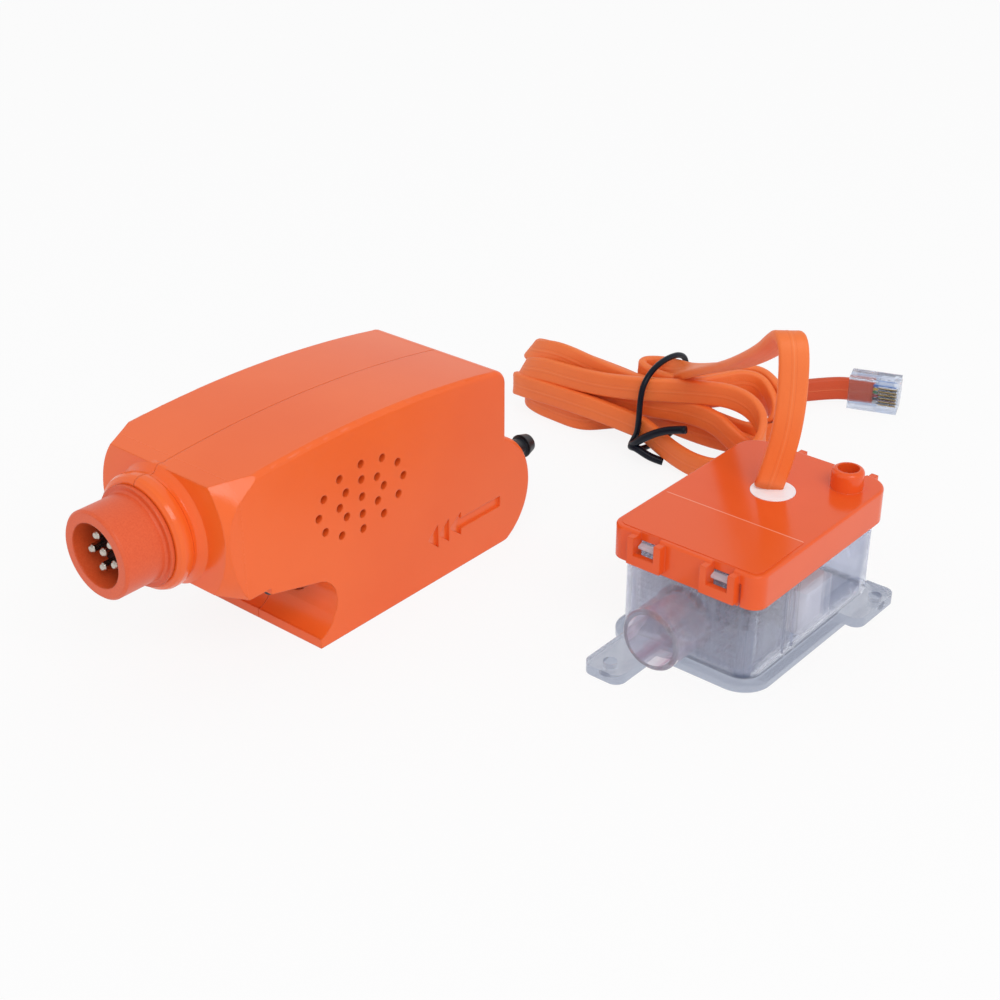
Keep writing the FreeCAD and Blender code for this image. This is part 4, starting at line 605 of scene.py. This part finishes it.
# Painted highlight along the raised line in the middle of each face.
jacket = cable_finish.tint(middle * 0.3, jacket, linear(250, 156, 104))
cable_orange = cable_finish.solid(
    Base_Color=jacket,
    Roughness=0.42 + streaks * 0.14,
    Normal=cable_finish.bump(streaks - grooves, distance=0.00006, strength=0.6),
)

disc_low, disc_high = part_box("potting_disc")
lid_front = Vector((
    (disc_low.x + disc_high.x) / 2 - DISC_FROM_LID[0],
    (disc_low.y + disc_high.y) / 2 - DISC_FROM_LID[1],
    0.0,
))
upright = Vector((0.0, 0.0, 1.0))
centre_points = []
edge_points = []
for row in RISER_ROUTE + HANK_ROUTE + TAIL_ROUTE:
    turn = math.radians(row[3] if len(row) == 4 else 90)
    centre = lid_front + Vector(row[:3])
    centre_points.append(centre)
    width_way = FOOT_WIDTH_WAY * math.cos(turn) + upright * math.sin(turn)
    edge_points.append(centre + width_way * CABLE_WIDTH / 2)
cable_line = nurbs_line("cable_line", centre_points)
cable_edge = nurbs_line("cable_edge", edge_points)

section = cable_section()
cable_rings = []
along = [0.0]
for k, centre in enumerate(cable_line):
    heading = heading_at(cable_line, k)
    width_way = cable_edge[k] - centre
    width_way = (width_way - heading * width_way.dot(heading)).normalized()
    out_way = heading.cross(width_way)
    cable_rings.append([centre + width_way * across + out_way * out for across, out in section])
    if k:
        along.append(along[-1] + (centre - cable_line[k - 1]).length)
cable_length = along[-1]
cable = skinned(cable_rings, "sensor_cable", cable_orange, "lid")
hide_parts("cable_riser", "cable_hank", "cable_tail")

corners = [0.5 + across / CABLE_WIDTH for across, out in section]
face_uvs = []
for start, end in zip(along, along[1:]):
    for low, high in zip(corners, corners[1:] + corners[:1]):
        face_uvs += [(start, low), (start, high), (end, high), (end, low)]
for end in (0.0, cable_length):
    face_uvs += [(end, 0.5)] * len(section)
cable_uv = cable.data.uv_layers.new(name="jacket")
cable_uv.data.foreach_set("uv", [value for pair in face_uvs for value in pair])


# Cable tie
# A short length of plastic-coated wire, bent round the bundle's waist and twisted once at its lower front.
# It is one wire from end to end: a tail, the twist, the turn round the bundle, the twist, the other tail.
TIE_WIRE_RADIUS = 0.00080
TIE_WIRE_SIDES = 12
TIE_END_GROWTH = 0.35
TIE_END_POINTS = (24, 40)
TIE_ROUTE = (
    (-0.0504, 0.0753, 0.0134), (-0.0545, 0.0747, 0.0124), (-0.0588, 0.0740, 0.0104),
    (-0.0625, 0.0735, 0.0078), (-0.0655, 0.0736, 0.0052), (-0.0678, 0.0750, 0.0032),
    (-0.0676, 0.0764, 0.0050), (-0.0664, 0.0761, 0.0072), (-0.0660, 0.0761, 0.0115),
    (-0.0660, 0.0763, 0.0165), (-0.0660, 0.0773, 0.0209), (-0.0660, 0.0812, 0.0240),
    (-0.0660, 0.0876, 0.0252), (-0.0660, 0.0944, 0.0243), (-0.0660, 0.0978, 0.0212),
    (-0.0660, 0.0978, 0.0120), (-0.0660, 0.0964, 0.0035), (-0.0660, 0.0920, 0.0011),
    (-0.0660, 0.0840, 0.0011), (-0.0664, 0.0785, 0.0013), (-0.0674, 0.0754, 0.0026),
    (-0.0668, 0.0738, 0.0040), (-0.0648, 0.0736, 0.0042), (-0.0625, 0.0742, 0.0030),
    (-0.0602, 0.0752, 0.0018), (-0.0578, 0.0764, 0.0012),
)

tie_finish = Finish("black_coated_wire")
tie_grain = tie_finish.noise(tie_finish.place(), scale=900.0)
tie_black = tie_finish.solid(
    Base_Color=tie_finish.tint(tie_grain, linear(2, 8, 20), linear(10, 20, 38)),
    Roughness=0.3 + tie_grain * 0.1,
    Specular_IOR_Level=0.2,
    Normal=tie_finish.bump(tie_grain, distance=0.00004, strength=0.5),
)

tie_line = nurbs_line("tie_line", [lid_front + Vector(point) for point in TIE_ROUTE])
tie_angles = [math.tau * j / TIE_WIRE_SIDES for j in range(TIE_WIRE_SIDES)]
side = heading_at(tie_line, 0).orthogonal()
tie_rings = []
for k, centre in enumerate(tie_line):
    from_end = min(k, len(tie_line) - 1 - k)
    thinning = (from_end - TIE_END_POINTS[0]) / (TIE_END_POINTS[1] - TIE_END_POINTS[0])
    radius = TIE_WIRE_RADIUS * (1 + TIE_END_GROWTH * (1 - min(max(thinning, 0.0), 1.0)))
    heading = heading_at(tie_line, k)
    side = (side - heading * side.dot(heading)).normalized()
    rise = heading.cross(side)
    tie_rings.append([centre + (side * math.cos(a) + rise * math.sin(a)) * radius for a in tie_angles])
bundle_tie = skinned(tie_rings, "bundle_tie", tie_black, "lid")
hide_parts("cable_tie")


# Plug
# A clear six-way modular plug on its side, with a sprung latch and six gilt contacts crimped to its leads.
# It lies turned from its drawn place by the angle that it fell at, about the latch's own hinge line.
LATCH_HINGE = Vector((0.007958, 0.161392, 0.0))
PLUG_TURN = math.radians(-17.5)
PLUG_SHIFT = Vector((0.0028, -0.0002, 0.0))
TONGUE_CLEARANCE = Vector((-0.00017, 0.00047, 0.0))
SAME_POINT = 0.000001
PLUG_ENTRY = Vector((-0.0386, 0.1410, 0.0))
PLUG_HEADING = math.atan2(0.0080, 0.0104)
PLUG_MIDDLE = 0.004875
LEAD_COLOURS = (
    linear(206, 206, 202), linear(30, 30, 34), linear(176, 44, 38),
    linear(44, 124, 66), linear(216, 176, 44), linear(28, 108, 190),
)
LEAD_COUNT = len(LEAD_COLOURS)
LEAD_PITCH = 0.00102
LEAD_RADIUS = 0.00040
LEAD_START = 0.0058
LEAD_LENGTH = 0.0064
LEAD_SIDE = -0.0012
LEAD_ROUNDNESS = 14

crystal_finish = Finish("clear_plug_shell")
crystal_flow = crystal_finish.noise(crystal_finish.place(), scale=420.0)
clear_shell = crystal_finish.see_through(
    tint=linear(238, 241, 248),
    straight=0.3,
    haze=0.015,
    Base_Color=crystal_finish.tint(crystal_flow, linear(196, 206, 224), linear(226, 232, 242)),
    Roughness=0.04 + crystal_flow * 0.05,
    IOR=1.4,
    Transmission_Weight=1.0,
    Normal=crystal_finish.bump(crystal_flow, distance=0.00008, strength=0.3, edge=0.0002),
)

settle = Matrix.Translation(LATCH_HINGE + PLUG_SHIFT) @ Matrix.Rotation(PLUG_TURN, 4, "Z")
settle = settle @ Matrix.Translation(-LATCH_HINGE)


def settled_copy(node, name, material, body, clearance=Vector()):
    """A CAD piece of the plug, merged and laid where the plug came to rest."""
    shape = bmesh.new()
    shape.from_mesh(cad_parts[node].data)
    bmesh.ops.remove_doubles(shape, verts=shape.verts, dist=SAME_POINT)
    shape.transform(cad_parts[node].matrix_world)
    shape.transform(Matrix.Translation(clearance) @ settle)
    mesh = bpy.data.meshes.new(name)
    shape.to_mesh(mesh)
    shape.free()
    mesh.materials.clear()
    mesh.materials.append(material)
    piece = placed(mesh, name, body)
    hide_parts(node)
    return piece


plug_shell = settled_copy("plug_body", "plug_shell", clear_shell, "lid")
plug_blades = settled_copy("plug_contacts", "plug_blades", gold_flash, "lid")
plug_tongue = settled_copy(
    "plug_latch", "plug_tongue", clear_shell, "plug_latch", TONGUE_CLEARANCE,
)

lead_finish = Finish("coloured_leads")
lead_number = lead_finish.node("ShaderNodeAttribute", {"attribute_name": "lead"}, {}, "Fac")
lead_gloss = lead_finish.noise(lead_finish.place(), scale=900.0)
lead_band = (lead_number + 0.5) * (1.0 / LEAD_COUNT)
lead_colour = lead_finish.node("ShaderNodeValToRGB", {"bands": LEAD_COLOURS}, {0: lead_band})
lead_pvc = lead_finish.solid(
    Base_Color=lead_colour,
    Roughness=0.3 + lead_gloss * 0.1,
    Normal=lead_finish.bump(lead_gloss, distance=0.00002, strength=0.4),
)


def node_tree(name, inputs):
    """A geometry tree with named number inputs, and a maker of its nodes."""
    tree = bpy.data.node_groups.new(name, "GeometryNodeTree")
    tree.interface.new_socket("Geometry", in_out="OUTPUT", socket_type="NodeSocketGeometry")
    for label, kind in inputs:
        tree.interface.new_socket(label, in_out="INPUT", socket_type=kind)
    given = tree.nodes.new("NodeGroupInput").outputs

    def node(kind, links, **settings):
        made = tree.nodes.new(kind)
        for key, value in settings.items():
            setattr(made, key, value)
        for key, value in links.items():
            if isinstance(value, bpy.types.NodeSocket):
                tree.links.new(value, made.inputs[key])
            else:
                made.inputs[key].default_value = value
        return made.outputs[0] if made.outputs else None

    return tree, given, node


def grown(name, tree, values):
    """The tree's result as a plain mesh, with its inputs set by their identifiers."""
    holder = bpy.data.objects.new(name + "_holder", bpy.data.meshes.new(name + "_holder"))
    bpy.context.scene.collection.objects.link(holder)
    modifier = holder.modifiers.new(name, "NODES")
    modifier.node_group = tree
    sockets = {item.name: item.identifier for item in tree.interface.items_tree if item.in_out == "INPUT"}
    for label, value in values.items():
        modifier[sockets[label]] = value
    holder.update_tag()
    depsgraph = bpy.context.evaluated_depsgraph_get()
    mesh = bpy.data.meshes.new_from_object(holder.evaluated_get(depsgraph), depsgraph=depsgraph)
    bpy.data.objects.remove(holder)
    mesh.name = name
    return mesh


leads_tree, leads_in, lead_node = node_tree("plug_leads", (
    ("Count", "NodeSocketInt"), ("Pitch", "NodeSocketFloat"), ("Radius", "NodeSocketFloat"),
    ("Length", "NodeSocketFloat"),
))
lead_step = lead_node("ShaderNodeCombineXYZ", {"Z": leads_in["Pitch"]})
lead_reach = lead_node("ShaderNodeCombineXYZ", {"X": leads_in["Length"]})
lead_row = lead_node("GeometryNodeMeshLine", {"Count": leads_in["Count"], "Offset": lead_step})
lead_line = lead_node("GeometryNodeCurvePrimitiveLine", {"End": lead_reach})
lead_round = lead_node("GeometryNodeCurvePrimitiveCircle", {
    "Resolution": LEAD_ROUNDNESS, "Radius": leads_in["Radius"],
})
lead_tube = lead_node("GeometryNodeCurveToMesh", {
    "Curve": lead_line, "Profile Curve": lead_round, "Fill Caps": True,
})
lead_set = lead_node("GeometryNodeInstanceOnPoints", {"Points": lead_row, "Instance": lead_tube})
lead_index = lead_node("GeometryNodeInputIndex", {})
lead_named = lead_node(
    "GeometryNodeStoreNamedAttribute", {"Geometry": lead_set, "Name": "lead", "Value": lead_index},
    data_type="FLOAT", domain="INSTANCE",
)
lead_real = lead_node("GeometryNodeRealizeInstances", {"Geometry": lead_named})
lead_smooth = lead_node("GeometryNodeSetShadeSmooth", {0: lead_real})
lead_dressed = lead_node("GeometryNodeSetMaterial", {"Geometry": lead_smooth, "Material": lead_pvc})
lead_node("NodeGroupOutput", {0: lead_dressed})
leads_mesh = grown("plug_leads", leads_tree, {
    "Count": LEAD_COUNT, "Pitch": LEAD_PITCH, "Radius": LEAD_RADIUS, "Length": LEAD_LENGTH,
})
plug_place = settle @ Matrix.Translation(lid_front + PLUG_ENTRY) @ Matrix.Rotation(PLUG_HEADING, 4, "Z")
first_lead = PLUG_MIDDLE - LEAD_PITCH * (LEAD_COUNT - 1) / 2
leads_mesh.transform(plug_place @ Matrix.Translation((LEAD_START, LEAD_SIDE, first_lead)))
plug_leads = placed(leads_mesh, "plug_leads", "lid")


# Studio
# A seamless white table under soft light from all round, brighter low down than overhead.
# One broad lamp over the camera's right shapes the mouldings, and a weak one overhead fills them.
FLOOR_SIZE = 12.0
TABLE_WHITE = (0.86, 0.86, 0.87)
TABLE_GLOW = 0.88
HORIZON_LIGHT = 0.92
ZENITH_LIGHT = 0.6

half = FLOOR_SIZE / 2
floor_mesh = bpy.data.meshes.new("floor")
floor_corners = [(-half, -half, 0), (half, -half, 0), (half, half, 0), (-half, half, 0)]
floor_mesh.from_pydata(floor_corners, [], [(0, 1, 2, 3)])
floor = bpy.data.objects.new("floor", floor_mesh)
bpy.context.scene.collection.objects.link(floor)
table_finish = Finish("white_table")
seen = table_finish.ray("Is Camera Ray") + table_finish.ray("Is Glossy Ray")
seen = seen.maths("MAXIMUM", table_finish.ray("Is Transmission Ray"))
lit = table_finish.node("ShaderNodeBsdfDiffuse", {}, {"Color": TABLE_WHITE})
white = table_finish.node("ShaderNodeEmission", {}, {"Color": (1.0, 1.0, 1.0), "Strength": 1.0})
table = table_finish.node("ShaderNodeMixShader", {}, {0: seen * TABLE_GLOW, 1: lit, 2: white})
floor_mesh.materials.append(table_finish.ended(table))

studio = Finish("studio", "worlds")
bpy.context.scene.world = studio.block
up_sky = studio.axis(studio.node("ShaderNodeTexCoord", {}, {}, "Generated"), "Z")
lighting = studio.node("ShaderNodeMapRange", {}, {
    "Value": up_sky, "To Min": HORIZON_LIGHT, "To Max": ZENITH_LIGHT,
})
looking = studio.ray("Is Camera Ray").maths("MAXIMUM", studio.ray("Is Transmission Ray"))
strength = studio.node("ShaderNodeMix", {}, {0: looking, 2: lighting, 3: 1.0})
sky = studio.node("ShaderNodeBackground", {}, {"Color": (1.0, 1.0, 1.0), "Strength": strength})
studio.node("ShaderNodeOutputWorld", {}, {"Surface": sky})


def soft_box(name, place, target, size, watts):
    """A broad flat lamp, turned to its target."""
    lamp = bpy.data.lights.new(name, "AREA")
    lamp.shape = "RECTANGLE"
    lamp.size, lamp.size_y = size
    lamp.energy = watts
    holder = bpy.data.objects.new(name, lamp)
    holder.location = place
    holder.rotation_euler = (Vector(target) - Vector(place)).to_track_quat("-Z", "Y").to_euler()
    bpy.context.scene.collection.objects.link(holder)


soft_box("key_lamp", place=(0.75, -0.35, 0.85), target=(0.0, 0.0, 0.02), size=(0.7, 0.5), watts=4.3)
soft_box("top_lamp", place=(-0.25, 0.25, 1.0), target=(0.0, 0.03, 0.0), size=(0.9, 0.9), watts=0.4)
